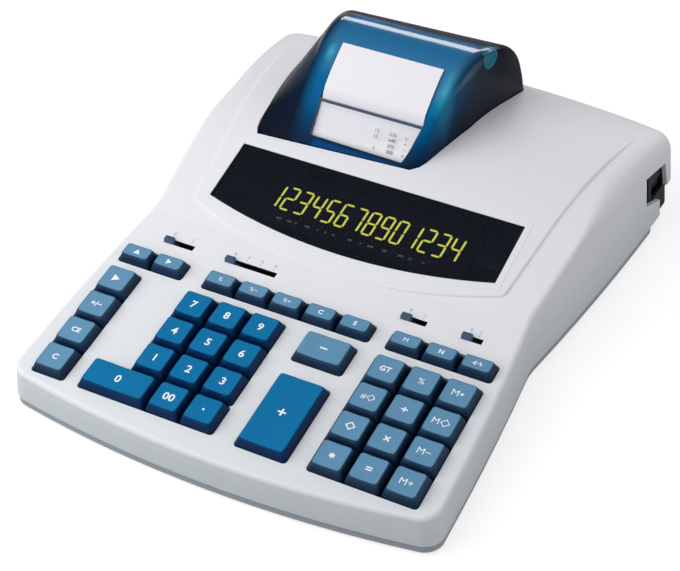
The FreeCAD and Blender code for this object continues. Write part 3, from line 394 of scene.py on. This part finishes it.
def rollFinish():
    # side of a paper roll: fine rings about the roll's own axis
    made = Finish("paperRollRings", Specular_IOR_Level=0.2, Roughness=0.8)
    middle = [(a + b) / 2.0 for a, b in zip(*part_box("paper_roll"))]
    flattened = made.node("ShaderNodeMapping", {}, {"Vector": made.place(), "Scale": (0.0, 1.0, 1.0)})
    radial = made.node("ShaderNodeVectorMath", {"operation": "DISTANCE"}, {
        0: flattened, 1: (0.0, middle[1], middle[2])}, out=1)
    rings = (Number(made, radial) * (rollLook["ringRate"] * 1000.0)).sine() * 0.5 + 0.5
    face, line = shade(*rollLook["face"]), shade(*rollLook["line"])
    made.put("Base Color", made.blend(rings * made.noise(2.0), face, line))
    made.bump(rings, 0.02)
    return made.material


def brushedSteel(name, colour, rough, stretch=(1.0, 14.0, 14.0)):
    # rolled sheet: streaks one way, uneven gloss, faint stain
    made = Finish(name, Metallic=1.0)
    streaks = made.noise(0.9, 3.0, 0.6, stretch)
    made.put("Base Color", made.blend(made.noise(12.0, 3.0), scaled(colour, 0.86), shade(*colour)))
    made.put("Roughness", streaks * 0.22 + rough)
    made.bump(streaks, 0.006)
    return made.material


boardLook = dict(lacquer=(20, 74, 48), copper=(52, 118, 76), across=2.1, along=0.8, level=0.55)


def boardFinish():
    # circuit board: green lacquer with paler copper runs under it, where two crossed waves are high
    look = boardLook
    made = Finish("boardGreen", Specular_IOR_Level=0.5, Roughness=0.35)
    runs = (made.axis(0) * look["across"]).sine() * (made.axis(1) * look["along"]).sine()
    made.put("Base Color", made.blend(runs > look["level"], shade(*look["lacquer"]), shade(*look["copper"])))
    made.bump(runs, 0.03)
    return made.material


def paneFinish():
    # smoked display pane: dark, seen through only a little
    made = Finish("windowClear", Specular_IOR_Level=0.07, IOR=1.49, Alpha=0.5)
    smoke = made.noise(45.0)
    made.put("Base Color", made.blend(smoke, shade(16, 22, 28), shade(30, 34, 46)))
    made.put("Roughness", smoke * 0.08 + 0.1)
    made.bump(made.noise(60.0, 1.0), 0.02)
    return made.material


def tubeFinish():
    # display tube: dark glass, its colour a little cloudy
    made = Finish("tubeGlass", Specular_IOR_Level=0.15, Roughness=0.2)
    made.put("Base Color", made.blend(made.noise(22.0, 3.0), shade(14, 20, 16), shade(24, 30, 34)))
    return made.material


def glowFinish(name, colour, strength):
    # lit segments, a touch uneven along the row as an old tube is
    made = Finish(name, Base_Color=(0.02, 0.02, 0.02, 1.0), Roughness=0.4, Emission_Strength=strength)
    full = shade(*colour)
    made.put("Emission Color", made.blend(made.noise(9.0), dimmed(full, 0.82), full))
    return made.material


def printFinish(name, colour, rough=0.5):
    # ink: slightly patchy, as pad printing is
    made = Finish(name, Specular_IOR_Level=0.35, Roughness=rough)
    made.put("Base Color", made.blend(made.noise(0.6) * 0.5, shade(*colour), scaled(colour, 0.9)))
    return made.material


def rubberFinish():
    # black rubber: matt, dusty in patches
    made = Finish("blackRubber", Specular_IOR_Level=0.3)
    dust = made.noise(6.0, 4.0)
    made.put("Base Color", made.blend(dust, shade(26, 27, 29), shade(44, 45, 47)))
    made.put("Roughness", dust * 0.15 + 0.7)
    made.bump(made.noise(0.5), 0.02)
    return made.material


finish = {key: mouldedPlastic(*look) for key, look in plasticLooks.items()}
finish.update(
    casing=casingPlastic(),
    strongKey=keyPlastic("strongBlueKey", keyLook["strong"], keyLook["strongShadedSide"]),
    paleKey=keyPlastic("paleBlueKey", keyLook["pale"], keyLook["paleShadedSide"]),
    cover=coverPlastic(),
    paper=paperFinish(),
    roll=rollFinish(),
    steel=brushedSteel("steelPlate", (176, 178, 182), 0.28),
    core=brushedSteel("coreSteel", (120, 122, 126), 0.42, (18.0, 1.0, 1.0)),
    screw=brushedSteel("screwSteel", (150, 152, 156), 0.3),
    board=boardFinish(),
    pane=paneFinish(),
    tube=tubeFinish(),
    glow=glowFinish("segmentGlow", (236, 236, 96), 3.0),
    # the unlit small signs glow faintly too, as painted light
    faint=glowFinish("segmentFaint", (118, 134, 124), 1.1),
    white=printFinish("whitePrint", (240, 244, 250)),
    grey=printFinish("greyPrint", (120, 124, 130)),
    ink=printFinish("printedFigures", (112, 106, 122), 0.8),
    blade=printFinish("bladeDark", (98, 90, 94)),
    rubber=rubberFinish(),
)
print("finishes made:", len(finish))


# Mesh builders

def gridFaces(rows, columns):
    # quads between neighbouring rows of points, and from the last column back to the first
    row = np.arange(rows - 1)[:, None] * columns
    column = np.arange(columns)[None, :]
    after = (column + 1) % columns
    corners = [row + column, row + after, row + columns + after, row + columns + column]
    return np.stack(corners, axis=-1).reshape(-1, 4)


def ringPart(rings, tone=0.0):
    # a closed skin over rings of equal point count, its two ends shut by flat faces;
    # tone is one number, or one for each ring
    count, around = rings.shape[:2]
    faces = gridFaces(count, around).tolist()
    faces.append(list(range(around))[::-1])
    faces.append(list(range((count - 1) * around, count * around)))
    tones = np.repeat(np.broadcast_to(np.asarray(tone, dtype=float), count), around)
    return dict(points=rings.reshape(-1, 3), faces=faces, look=0, tone=tones)


def roundedRings(halfX, halfY, radius, z, arc=5, run=6):
    # rounded rectangles one above another: quarter circles at the corners, evenly divided runs between
    halfX, halfY, radius, z = [np.asarray(v, dtype=float)[:, None] for v in (halfX, halfY, radius, z)]
    turn = np.linspace(0.0, math.pi / 2.0, arc)[None, :]
    share = np.linspace(0.0, 1.0, run + 2)[None, 1:-1]
    arcs = []
    for quarter, (sx, sy) in enumerate([(1, 1), (-1, 1), (-1, -1), (1, -1)]):
        angle = turn + quarter * math.pi / 2.0
        arcs.append((sx * (halfX - radius) + radius * np.cos(angle),
                     sy * (halfY - radius) + radius * np.sin(angle)))
    xs, ys = [], []
    for (ax, ay), (bx, by) in zip(arcs, arcs[1:] + arcs[:1]):
        xs += [ax, ax[:, -1:] * (1 - share) + bx[:, :1] * share]
        ys += [ay, ay[:, -1:] * (1 - share) + by[:, :1] * share]
    x, y = np.concatenate(xs, axis=1), np.concatenate(ys, axis=1)
    return np.stack([x, y, np.broadcast_to(z, x.shape)], axis=-1)


def wordsPart(words, size, thick, look=0, weight=0.0):
    # letters as thin plates, centred on nought, in millimetres; weight thickens the strokes
    curve = bpy.data.curves.new("words", "FONT")
    curve.body, curve.size, curve.extrude, curve.offset = words, size, thick / 2.0, weight
    curve.resolution_u = 3
    holder = bpy.data.objects.new("words", curve)
    bpy.context.scene.collection.objects.link(holder)
    bpy.context.view_layer.update()
    mesh = bpy.data.meshes.new_from_object(holder.evaluated_get(bpy.context.evaluated_depsgraph_get()))
    bpy.data.objects.remove(holder)
    bpy.data.curves.remove(curve)
    points = meshPoints(mesh).astype(float)
    points[:, :2] -= (points[:, :2].min(axis=0) + points[:, :2].max(axis=0)) / 2.0
    faces = [list(face.vertices) for face in mesh.polygons]
    bpy.data.meshes.remove(mesh)
    return dict(points=points, faces=faces, look=look, tone=np.ones(len(points)))


def plate(outline, low, high):
    # a flat outline given thickness
    flat = np.asarray(outline, dtype=float)
    rings = np.stack([np.column_stack([flat, np.full(len(flat), z)]) for z in (low, high)])
    return ringPart(rings, 1.0)


def shifted(part, dx, dy, dz=0.0):
    return dict(part, points=part["points"] + np.array([dx, dy, dz]))


def makePiece(name, body, looks, parts, spot, sharp=38.0, swaps=()):
    # all parts in one mesh, each face with its own finish, riding on one body
    points = np.concatenate([part["points"] for part in parts])
    starts = np.cumsum([0] + [len(part["points"]) for part in parts]).tolist()
    faces, numbers = [], []
    for part, start in zip(parts, starts):
        faces += [[index + start for index in face] for face in part["faces"]]
        numbers += [part["look"]] * len(part["faces"])
    mesh = bpy.data.meshes.new(name)
    mesh.from_pydata(toWorld(points, spot).tolist(), [], faces)
    for look in looks:
        mesh.materials.append(look)
    mesh.polygons.foreach_set("material_index", numbers)
    mesh.polygons.foreach_set("use_smooth", [True] * len(faces))
    tones = mesh.attributes.new("tone", "FLOAT", "POINT")
    tones.data.foreach_set("value", np.concatenate([part["tone"] for part in parts]))
    mesh.set_sharp_from_angle(angle=math.radians(sharp))
    mesh.update()
    made = bpy.data.objects.new(name, mesh)
    bpy.context.scene.collection.objects.link(made)
    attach(made, body)
    if swaps:
        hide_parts(*swaps)


# Keys

keyCap = dict(
    rise=5.2, low=-3.5, foot=0.4,  # top of the rim, lower end of the skirt, where the walls start to lean
    draw=2.0, corner=1.6, edge=0.55, dish=0.7, dishRadius=60.0,
    wallThick=1.5, roof=2.0, chamfer=0.2, underside=0.3, innerCorners=(0.4, 0.5, 0.6),
    # sideTone is how much face colour the walls reach at their top; below that they take the painted shade
    # colour
    sideTone=0.2, edgeSteps=(0.25, 0.5, 0.75, 1.0), topSteps=(0.92, 0.8, 0.6, 0.4, 0.2, 0.02),
    longKey=30.0, postReach=9.5, postHalf=2.5, postCorner=0.4, postChamfer=0.3, postLow=-13.0, postInto=0.2,
)
legendLook = dict(
    lift=0.03, thick=0.1, digitSize=6.2,
    bold=0.12, fine=0.0, fineWords="M%#",  # signs with narrow gaps, which bold strokes would fill
)
legends = {
    "key_clear": ("C", 4.6), "key_clear_entry": ("CE", 4.2), "key_sign_change": ("+/−", 4.4),
    "key_backspace": ("▶", 4.6), "key_memory_plus": ("M+", 5.4), "key_memory_minus": ("M−", 5.4),
    "key_memory_subtotal": ("M◇", 5.2), "key_memory_total": ("M∗", 5.4), "key_equals": ("=", 6.4),
    "key_multiply": ("×", 6.8), "key_divide": ("÷", 6.8), "key_percent": ("%", 5.2),
    "key_total": ("∗", 7.6), "key_subtotal": ("◇", 5.2), "key_non_add": ("#◇", 4.6),
    "key_grand_total": ("GT", 4.4), "key_plus": ("+", 8.6), "key_minus": ("−", 8.0),
    "key_decimal_point": (".", 8.6), "key_paper_feed": ("▲", 3.6), "key_shift": ("▶", 3.4),
    "key_rate": ("%", 3.6), "key_tax_minus": ("%−", 3.6), "key_tax_plus": ("%+", 3.6),
    "key_cost": ("C", 3.8), "key_selling_price": ("S", 3.8), "key_margin": ("M", 3.8),
    "key_item_count": ("N", 3.8), "key_exchange": ("↔", 3.8),
}
strongKeys = ("key_digit_", "key_decimal_point", "key_plus")


def troughHeight(x):
    # the key's top: a shallow round trough about its depth, lowest at the middle of its width
    return keyCap["rise"] - keyCap["dish"] + x ** 2 / (2.0 * keyCap["dishRadius"])


def keyRings(width, depth):
    # from under the roof out to the inner wall, down, round the skirt's foot and up the outer wall, which
    # leans in by the draw over its height; over the edge by a quarter turn, then in over the trough
    cap = keyCap
    rise, low, foot, corner = [cap[key] for key in ("rise", "low", "foot", "corner")]
    a, b = width / 2.0, depth / 2.0
    inA, inB = a - cap["wallThick"], b - cap["wallThick"]
    ceiling = rise - cap["dish"] - cap["roof"]
    small, middling, large = cap["innerCorners"]
    lift = rise - foot - cap["edge"]
    lean = cap["draw"] / (rise - foot)
    rows = [  # half width, half depth, corner radius, height, tone
        (a * cap["underside"], b * cap["underside"], small, ceiling, 0.0),
        (inA - cap["draw"], inB - cap["draw"], middling, ceiling, 0.0),
        (inA, inB, large, foot, 0.0),
        (inA, inB, large, low, 0.0),
        (a - cap["chamfer"], b - cap["chamfer"], corner - cap["chamfer"], low, 0.0),
        (a, b, corner, low + cap["chamfer"], 0.0),
        (a, b, corner, foot, 0.0),
    ]
    for share in (0.5, 1.0):
        draw = lift * share * lean
        rows.append((a - draw, b - draw, corner, foot + lift * share, cap["sideTone"] * share ** 2))
    for share in cap["edgeSteps"]:
        swing = share * math.pi / 2.0
        draw = lift * lean + cap["edge"] * (lean * math.sin(swing) + 1.0 - math.cos(swing))
        tone = cap["sideTone"] + (1.0 - cap["sideTone"]) * min(1.0, share * 1.3)
        rows.append((a - draw, b - draw, corner, foot + lift + cap["edge"] * math.sin(swing), tone))
    topA, topB = rows[-1][:2]
    rows += [(topA * share, topB * share, corner * share, rise, 1.0) for share in cap["topSteps"]]
    halfX, halfY, radius, z, tone = np.array(rows).T
    rings = roundedRings(halfX, halfY, np.minimum(radius, np.minimum(halfX, halfY)), z)
    x, height = rings[..., 0], rings[..., 2]
    ceilingOfTop = np.where(height > foot + lift * 0.5, troughHeight(x), np.inf)
    rings[..., 2] = np.minimum(height, ceilingOfTop)
    return rings, tone


def keyPosts(width, depth):
    # square guide posts under the roof: one in the middle, or two under a long key
    cap = keyCap
    reach, half, chamfer, low = [cap[key] for key in ("postReach", "postHalf", "postChamfer", "postLow")]
    places = [(0.0, 0.0)]
    if width > cap["longKey"]:
        places = [(-reach, 0.0), (reach, 0.0)]
    if depth > cap["longKey"]:
        places = [(0.0, -reach), (0.0, reach)]
    halves = [half - chamfer, half, half]
    top = cap["rise"] - cap["dish"] - cap["roof"] + cap["postInto"]
    post = ringPart(roundedRings(halves, halves, [cap["postCorner"]] * 3, [low, low + chamfer, top]))
    return [shifted(post, x, y) for x, y in places]


def keyLegend(node):
    # white letters or a sign, laid on the trough
    look = legendLook
    if node.startswith("key_digit_"):
        words, size = node.removeprefix("key_digit_"), look["digitSize"]
    else:
        words, size = legends[node]
    weight = look["fine"] if set(words) & set(look["fineWords"]) else look["bold"]
    mark = wordsPart(words, size, look["thick"], 1, weight)
    points = mark["points"]
    points[:, 2] += troughHeight(points[:, 0]) + look["lift"]
    return mark


def makeKey(node):
    low, high = nodeBox(node, deckSpot)
    x, y = (low[:2] + high[:2]) / 2.0
    width, depth = high[:2] - low[:2]
    parts = [ringPart(*keyRings(width, depth)), *keyPosts(width, depth), keyLegend(node)]
    strong = node.startswith(strongKeys)
    makePiece(node + "_cap", node + "_body",
              [finish["strongKey" if strong else "paleKey"], finish["white"]],
              [shifted(part, x, y) for part in parts], deckSpot, 50.0, (node,))


keyNames = sorted(name for name in nodes if name.startswith("key_") and name != "key_plate")
for name in keyNames:
    makeKey(name)
print("keys made:", len(keyNames))


# Slide switches

knobShape = dict(
    half=1.5, rise=2.6, corner=0.3, ribs=4, ribDepth=0.35,
    # over the rounded edge: in from the sides, in from front and back, down from the top
    edge=[(0.0, 0.0, 0.5), (0.15, 0.12, 0.2), (0.45, 0.35, 0.0)],
    topSteps=(0.9, 0.75, 0.5, 0.25, 0.03),
    # the plate that holds it under the slot: how much wider it is, its half depth, lower and upper face
    flange=1.5, flangeHalf=3.0, flangeCorner=0.4, low=-4.0, under=-2.9,
)
slotMarks = dict(
    inset=3.0, tickAt=2.6, tickLong=1.5, tickWide=0.22, wordsAt=5.8, size=2.5, thick=0.04, sunk=0.005,
    rows=[((-89.0, -71.7), "0 1"), ((-52.7, -23.3), "4 3 2 0"), ((47.3, 61.2), "0 1"), ((80.1, 91.2), "0 1")],
)


def makeKnob(node):
    # a ribbed grip: rounded block whose top falls and rises as a cosine along the way it slides
    low, high = nodeBox(node, deckSpot)
    k = knobShape
    a, b, top = (high[0] - low[0]) / 2.0 - k["flange"], k["half"], k["rise"]
    x, y = (low[:2] + high[:2]) / 2.0
    rows = [(a + k["flange"], k["flangeHalf"], k["flangeCorner"], z) for z in (k["low"], k["under"])]
    rows.append((a, b, k["corner"], k["under"]))
    rows += [(a - inX, b - inY, k["corner"], top - down) for inX, inY, down in k["edge"]]
    crownX, crownY = rows[-1][:2]
    rows += [(crownX * share, crownY * share, k["corner"] * share, top) for share in k["topSteps"]]
    rings = roundedRings(*np.array(rows).T, arc=4, run=14)
    crest = 0.5 + 0.5 * np.cos(rings[..., 0] / crownX * math.pi * k["ribs"])
    rings[..., 2] -= np.where(rings[..., 2] >= top, k["ribDepth"] * (1.0 - crest), 0.0)
    makePiece(node + "_grip", node + "_body", [finish["knob"]],
              [shifted(ringPart(rings), x, y)], deckSpot, 40.0, (node,))
    return y


def makeSlotMarks(number, left, right, y, stops):
    # small ticks and plain figures printed behind a slot, one for each stop
    look = slotMarks
    parts = []
    near, far, half = y + look["tickAt"], y + look["tickAt"] + look["tickLong"], look["tickWide"] / 2.0
    for x, figure in zip(np.linspace(left, right, len(stops)), stops):
        tick = [(x - half, near), (x + half, near), (x + half, far), (x - half, far)]
        parts.append(plate(tick, -look["sunk"], look["thick"]))
        words = wordsPart(figure, look["size"], look["thick"])
        parts.append(shifted(words, x, y + look["wordsAt"], look["thick"] / 2.0))
    makePiece("slot_marks_" + str(number), "base", [finish["grey"]], parts, deckSpot)


for number, ((left, right), stops) in enumerate(slotMarks["rows"], 1):
    slotY = makeKnob("switch_knob_" + str(number))
    makeSlotMarks(number, left + slotMarks["inset"], right - slotMarks["inset"], slotY, stops.split())
print("switches made")


# Display

digitRow = dict(
    words="12345678901234", first=-48.3, pitch=8.0, low=27.4, height=15.2, width=5.0,
    stroke=1.1, gap=0.2, lean=0.035, depth=-4.78, thick=0.12,
)
litSegments = {
    "0": "abcdef", "1": "bc", "2": "abged", "3": "abgcd", "4": "fgbc",
    "5": "afgcd", "6": "afgedc", "7": "abc", "8": "abcdefg", "9": "abcdfg",
}


def segmentOutline(x0, y0, x1, y1):
    # a bar between two points with pointed ends, drawn in by the gap
    ends = np.array([[x0, y0], [x1, y1]], dtype=float)
    way = ends[1] - ends[0]
    way /= np.linalg.norm(way)
    half = digitRow["stroke"] / 2.0
    side = np.array([-way[1], way[0]]) * half
    inward = np.array([way, -way])
    tips = ends + inward * digitRow["gap"]
    shoulders = ends + inward * (digitRow["gap"] + half)
    return np.array([tips[0], shoulders[0] - side, shoulders[1] - side,
                     tips[1], shoulders[1] + side, shoulders[0] + side])


def makeDigits():
    # seven-bar figures, each bar moved sideways by the lean times its height, lying on the tube's front
    row = digitRow
    parts = []
    low, middle, top = row["low"], row["low"] + row["height"] / 2.0, row["low"] + row["height"]
    for place, digit in enumerate(row["words"]):
        right = row["first"] + place * row["pitch"]
        left = right - row["width"]
        bars = dict(a=(left, top, right, top), b=(right, middle, right, top), c=(right, low, right, middle),
                    d=(left, low, right, low), e=(left, low, left, middle), f=(left, middle, left, top),
                    g=(left, middle, right, middle))
        for letter in litSegments[digit]:
            outline = segmentOutline(*bars[letter])
            outline[:, 0] += (outline[:, 1] - low) * row["lean"]
            parts.append(plate(outline, row["depth"], row["depth"] + row["thick"]))
    makePiece("display_digits", "base", [finish["glow"]], parts, panelSpot)


faintMarks = dict(
    low=20.4, height=1.3, lean=0.2,
    places=[(-44.0, 3.2), (-37.5, 2.6), (-33.0, 1.2), (-27.0, 2.8), (-20.0, 1.0), (-15.5, 1.2), (-11.0, 1.6),
            (-2.0, 2.4), (5.0, 1.0), (9.5, 3.4), (18.0, 2.6), (27.0, 3.0), (33.0, 1.4), (40.5, 1.2)],
)


def makeFaintMarks():
    # the unlit small signs under the figures, made to glow faintly as painted light: leaning bars, each from
    # its left end and as wide as given
    parts = []
    low, high, lean = faintMarks["low"], faintMarks["low"] + faintMarks["height"], faintMarks["lean"]
    for x, wide in faintMarks["places"]:
        outline = [(x, low), (x + wide, low), (x + wide + lean, high), (x + lean, high)]
        parts.append(plate(outline, digitRow["depth"], digitRow["depth"] + digitRow["thick"]))
    makePiece("display_faint_marks", "base", [finish["faint"]], parts, panelSpot)


windowFrame = dict(
    half=82.3, back=58.6, side=19.0, front=6.8, frontPoints=41, sidePoints=8,
    # the rim from the pane outwards: distance from the window's outline, and height over the panel
    profile=[(-0.02, -0.25), (0.1, 0.02), (1.87, 0.22), (3.4, 0.22), (3.55, 0.0), (3.4, -0.25)],
)


def windowLoop(grow, z):
    # the window's outline grown outwards: a straight back and sides, and a front that bows to the user
    # as a parabola, from the sides' front ends down to the front at the middle
    f = windowFrame
    half, back = f["half"] + grow, f["back"] + grow
    side, front = f["side"] - grow, f["front"] - grow
    across = np.linspace(-half, half, f["frontPoints"])
    bow = side - (side - front) * (1.0 - (across / half) ** 2)
    along = np.linspace(side, back, f["sidePoints"] + 2)[1:-1]
    x = np.concatenate([across, np.full(len(along), half), across[::-1], np.full(len(along), -half)])
    y = np.concatenate([bow, along, np.full(len(across), back), along[::-1]])
    return np.stack([x, y, np.full(len(x), z)], axis=-1)


def makeWindowFrame():
    # a shallow raised rim: the profile carried round the window's outline and closed on itself
    rings = np.stack([windowLoop(grow, z) for grow, z in windowFrame["profile"]])
    count, around = rings.shape[:2]
    faces = (gridFaces(count + 1, around) % (count * around))[:, ::-1].tolist()
    part = dict(points=rings.reshape(-1, 3), faces=faces, look=0, tone=np.zeros(count * around))
    makePiece("window_rim", "base", [finish["casing"]], [part], panelSpot, 25.0)


makeDigits()
makeFaintMarks()
makeWindowFrame()
print("display made")


# Paper and what belongs to it

paperLook = dict(
    left=-50.0, right=10.0, thick=0.22, steps=14,
    # the strip seen from the side: along and up, from inside the cover out over its top
    line=[(191.6, -9.0), (188.9, 0.4), (190.2, 5.0), (193.5, 7.9), (197.4, 11.7), (201.4, 15.9), (204.3, 19.6),
          (207.4, 24.0), (212.0, 27.1), (217.0, 29.9), (222.0, 32.5), (227.0, 34.8), (232.0, 36.6)],
)
tearBar = dict(y=202.2, z=19.7, slope=50.0, left=-50.6, right=10.8, teeth=44, tooth=0.45, band=0.55, thick=0.3)
printedLook = dict(
    y=190.2, z=5.1, slope=55.0, size=2.7, thick=0.03, weight=0.02, first=1.6, step=3.2,
    columns=(3.6, -4.2, -13.6),
    rows=[("+", "250", "1"), ("−", "375", ""), ("+", "640", "12"), ("=", "515", "13")],
)


def smoothLine(points, steps):
    # a curve through the points: between two, the cubic whose slopes run from neighbour to neighbour
    knots = np.asarray(points, dtype=float)
    padded = np.vstack([2.0 * knots[0] - knots[1], knots, 2.0 * knots[-1] - knots[-2]])[:, None]
    before, start, end, after = padded[:-3], padded[1:-2], padded[2:-1], padded[3:]
    t = np.linspace(0.0, 1.0, steps, endpoint=False)[None, :, None]
    out, arrive = (end - before) / 2.0, (after - start) / 2.0
    curve = ((2 * t ** 3 - 3 * t ** 2 + 1) * start + (t ** 3 - 2 * t ** 2 + t) * out
             + (3 * t ** 2 - 2 * t ** 3) * end + (t ** 3 - t ** 2) * arrive)
    return np.vstack([curve.reshape(-1, 2), knots[-1:]])


def makePaper():
    # a strip: the side line given width and thickness, a thin closed ring at every step along it
    look = paperLook
    line = smoothLine(look["line"], look["steps"])
    way = np.gradient(line, axis=0)
    way /= np.linalg.norm(way, axis=1)[:, None]
    under = line + np.column_stack([way[:, 1], -way[:, 0]]) * look["thick"]
    corners = [(look["left"], line), (look["right"], line), (look["right"], under), (look["left"], under)]
    rings = np.stack([np.column_stack([np.full(len(side), x), side]) for x, side in corners], axis=1)
    makePiece("paper_curl", "cover", [finish["paper"]], [ringPart(rings[::-1])], coverSpot, 40.0,
              ("paper_strip",))


def makeTearBar():
    # a thin dark blade at the front of the paper slot: straight in front, every other point behind a tooth
    bar = tearBar
    x = np.linspace(bar["left"], bar["right"], 2 * bar["teeth"] + 1)
    back = bar["band"] + bar["tooth"] * (np.arange(len(x)) % 2)
    front = [(bar["left"], 0.0), (bar["right"], 0.0)]
    outline = np.concatenate([np.column_stack([x, back])[::-1], front])
    makePiece("tear_bar", "cover", [finish["blade"]], [plate(outline, 0.0, bar["thick"])],
              spotOn(coverSpot, bar["y"], bar["z"], bar["slope"]))


def makeFigures():
    # rows of plain printed numbers on the lower part of the paper
    look = printedLook
    parts = []
    for row, words in enumerate(look["rows"]):
        y = look["first"] + row * look["step"]
        for x, word in zip(look["columns"], words):
            if word:
                part = wordsPart(word, look["size"], look["thick"], 0, look["weight"])
                parts.append(shifted(part, x, y, look["thick"]))
    makePiece("printed_figures", "cover", [finish["ink"]], parts,
              spotOn(coverSpot, look["y"], look["z"], look["slope"]))


makePaper()
makeTearBar()
makeFigures()
print("paper made")


# Solids that are shown as they are

solidLooks = dict(
    upper_casing="casing", lower_casing="base", rear_panel="black", power_rocker="black",
    display_window="pane", display_tube="tube", printer_cover="cover", printer_frame="steel",
    platen_roller="rubber", paper_roll="roll", circuit_boards="board", transformer="core",
    key_plate="wellShade", rubber_feet="rubber", case_screws="screw",
)
for node, look in solidLooks.items():
    skin = nodes[node].data
    if not skin.materials:
        skin.materials.append(finish[look])
    for index in range(len(skin.materials)):
        skin.materials[index] = finish[look]
print("solids finished")


# Floor, light and camera; places here are in metres, apart from the camera's

stage = dict(
    reach=4.0, floor=(0.40, 0.40, 0.41, 1.0), backdrop=0.72,
    low=0.43, high=0.08, tint=(0.975, 0.98, 1.0, 1.0),  # the dome's light, at the horizon and added overhead
    glossLow=0.03, glossHigh=0.9, glossTint=(0.95, 0.98, 1.0, 1.0),  # the dome as mirrors see it
    white=(1.0, 1.0, 1.0, 1.0),
)
lamps = dict(
    softLeft=dict(place=(-0.42, -0.36, 0.52), target=(-0.04, -0.02, 0.03), size=(0.8, 0.8), watts=4.9),
    softRight=dict(place=(1.1, 0.0, 0.24), target=(0.1, 0.0, 0.03), size=(0.8, 0.3), watts=2.2),
    stripBehind=dict(place=(-0.1, 1.6, 0.40), target=(-0.03, 0.12, 0.09), size=(1.7, 0.26), watts=5.0,
                     mirrored=True),
)
cameraLook = dict(
    azimuth=29.802, elevation=46.226, roll=-4.603, place=(323.26, -444.76, 657.98),
    focal=1800.0, pixels=680.0, sensor=36.0,
)


def addFloor():
    # pale floor: its own dim white for all light, and white itself where the camera sees it
    r = stage["reach"]
    mesh = bpy.data.meshes.new("floor")
    mesh.from_pydata([(-r, -r, 0), (r, -r, 0), (r, r, 0), (-r, r, 0)], [], [(0, 1, 2, 3)])
    floor = bpy.data.objects.new("floor", mesh)
    bpy.context.scene.collection.objects.link(floor)
    made = Finish("floorPale", Base_Color=stage["floor"], Roughness=1.0, Specular_IOR_Level=0.0)
    seen = Number(made, made.node("ShaderNodeLightPath", {}, {}))
    glow = made.node("ShaderNodeEmission", {}, {"Color": stage["white"], "Strength": seen * stage["backdrop"]})
    both = made.node("ShaderNodeAddShader", {}, {0: made.shader.outputs[0], 1: glow})
    made.feed(made.output.inputs["Surface"], both)
    floor.data.materials.append(made.material)


def addSky():
    # a studio dome, dim at the horizon and bright overhead; mirrors see it with more contrast
    world = bpy.data.worlds.new("studio")
    bpy.context.scene.world = world
    sky = Shading(world)
    toward = sky.node("ShaderNodeTexCoord", {}, {})
    up = Number(sky, sky.node("ShaderNodeSeparateXYZ", {}, {0: toward}, out=2)).clipped()
    paths = sky.node("ShaderNodeLightPath", {}, {}).node
    soft = sky.node("ShaderNodeBackground", {}, {
        "Color": stage["tint"], "Strength": up * up * stage["high"] + stage["low"]})
    gloss = sky.node("ShaderNodeBackground", {}, {
        "Color": stage["glossTint"], "Strength": up * up * up * stage["glossHigh"] + stage["glossLow"]})
    white = sky.node("ShaderNodeBackground", {}, {"Color": stage["white"], "Strength": 1.0})
    lit = sky.node("ShaderNodeMixShader", {}, {0: paths.outputs["Is Glossy Ray"], 1: soft, 2: gloss})
    mixed = sky.node("ShaderNodeMixShader", {}, {0: paths.outputs["Is Camera Ray"], 1: lit, 2: white})
    sky.node("ShaderNodeOutputWorld", {}, {"Surface": mixed})


def addLamp(name, place, target, size, watts, mirrored=False):
    data = bpy.data.lights.new(name, "AREA")
    data.shape = "RECTANGLE"
    data.size, data.size_y = size
    data.energy = watts
    lamp = bpy.data.objects.new(name, data)
    bpy.context.scene.collection.objects.link(lamp)
    lamp.visible_glossy = mirrored
    lamp.location = place
    lamp.rotation_euler = (Vector(target) - Vector(place)).to_track_quat("-Z", "Y").to_euler()


def addCamera():
    # worked out in the deck's own directions, then turned with the deck
    look = cameraLook
    az, el, roll = [math.radians(look[key]) for key in ("azimuth", "elevation", "roll")]
    back = Vector((math.sin(az) * math.cos(el), -math.cos(az) * math.cos(el), math.sin(el)))
    right = Vector((0, 0, 1)).cross(back).normalized()
    up = back.cross(right)
    turnedRight = right * math.cos(roll) + up * math.sin(roll)
    turnedUp = up * math.cos(roll) - right * math.sin(roll)
    facing = Matrix((turnedRight, turnedUp, back)).transposed()
    tilt = Matrix.Rotation(math.radians(deckSpot["slope"]), 3, "X")
    data = bpy.data.cameras.new("camera")
    data.sensor_width = look["sensor"]
    data.lens = look["sensor"] * look["focal"] / look["pixels"]
    camera = bpy.data.objects.new("camera", data)
    bpy.context.scene.collection.objects.link(camera)
    place = Vector(toWorld(look["place"], deckSpot).tolist())
    camera.matrix_world = Matrix.Translation(place) @ (tilt @ facing).to_4x4()
    bpy.context.scene.camera = camera


addFloor()
addSky()
for name, lamp in lamps.items():
    addLamp(name, **lamp)
addCamera()
bpy.context.scene.view_settings.view_transform = "Standard"
print("stage set")
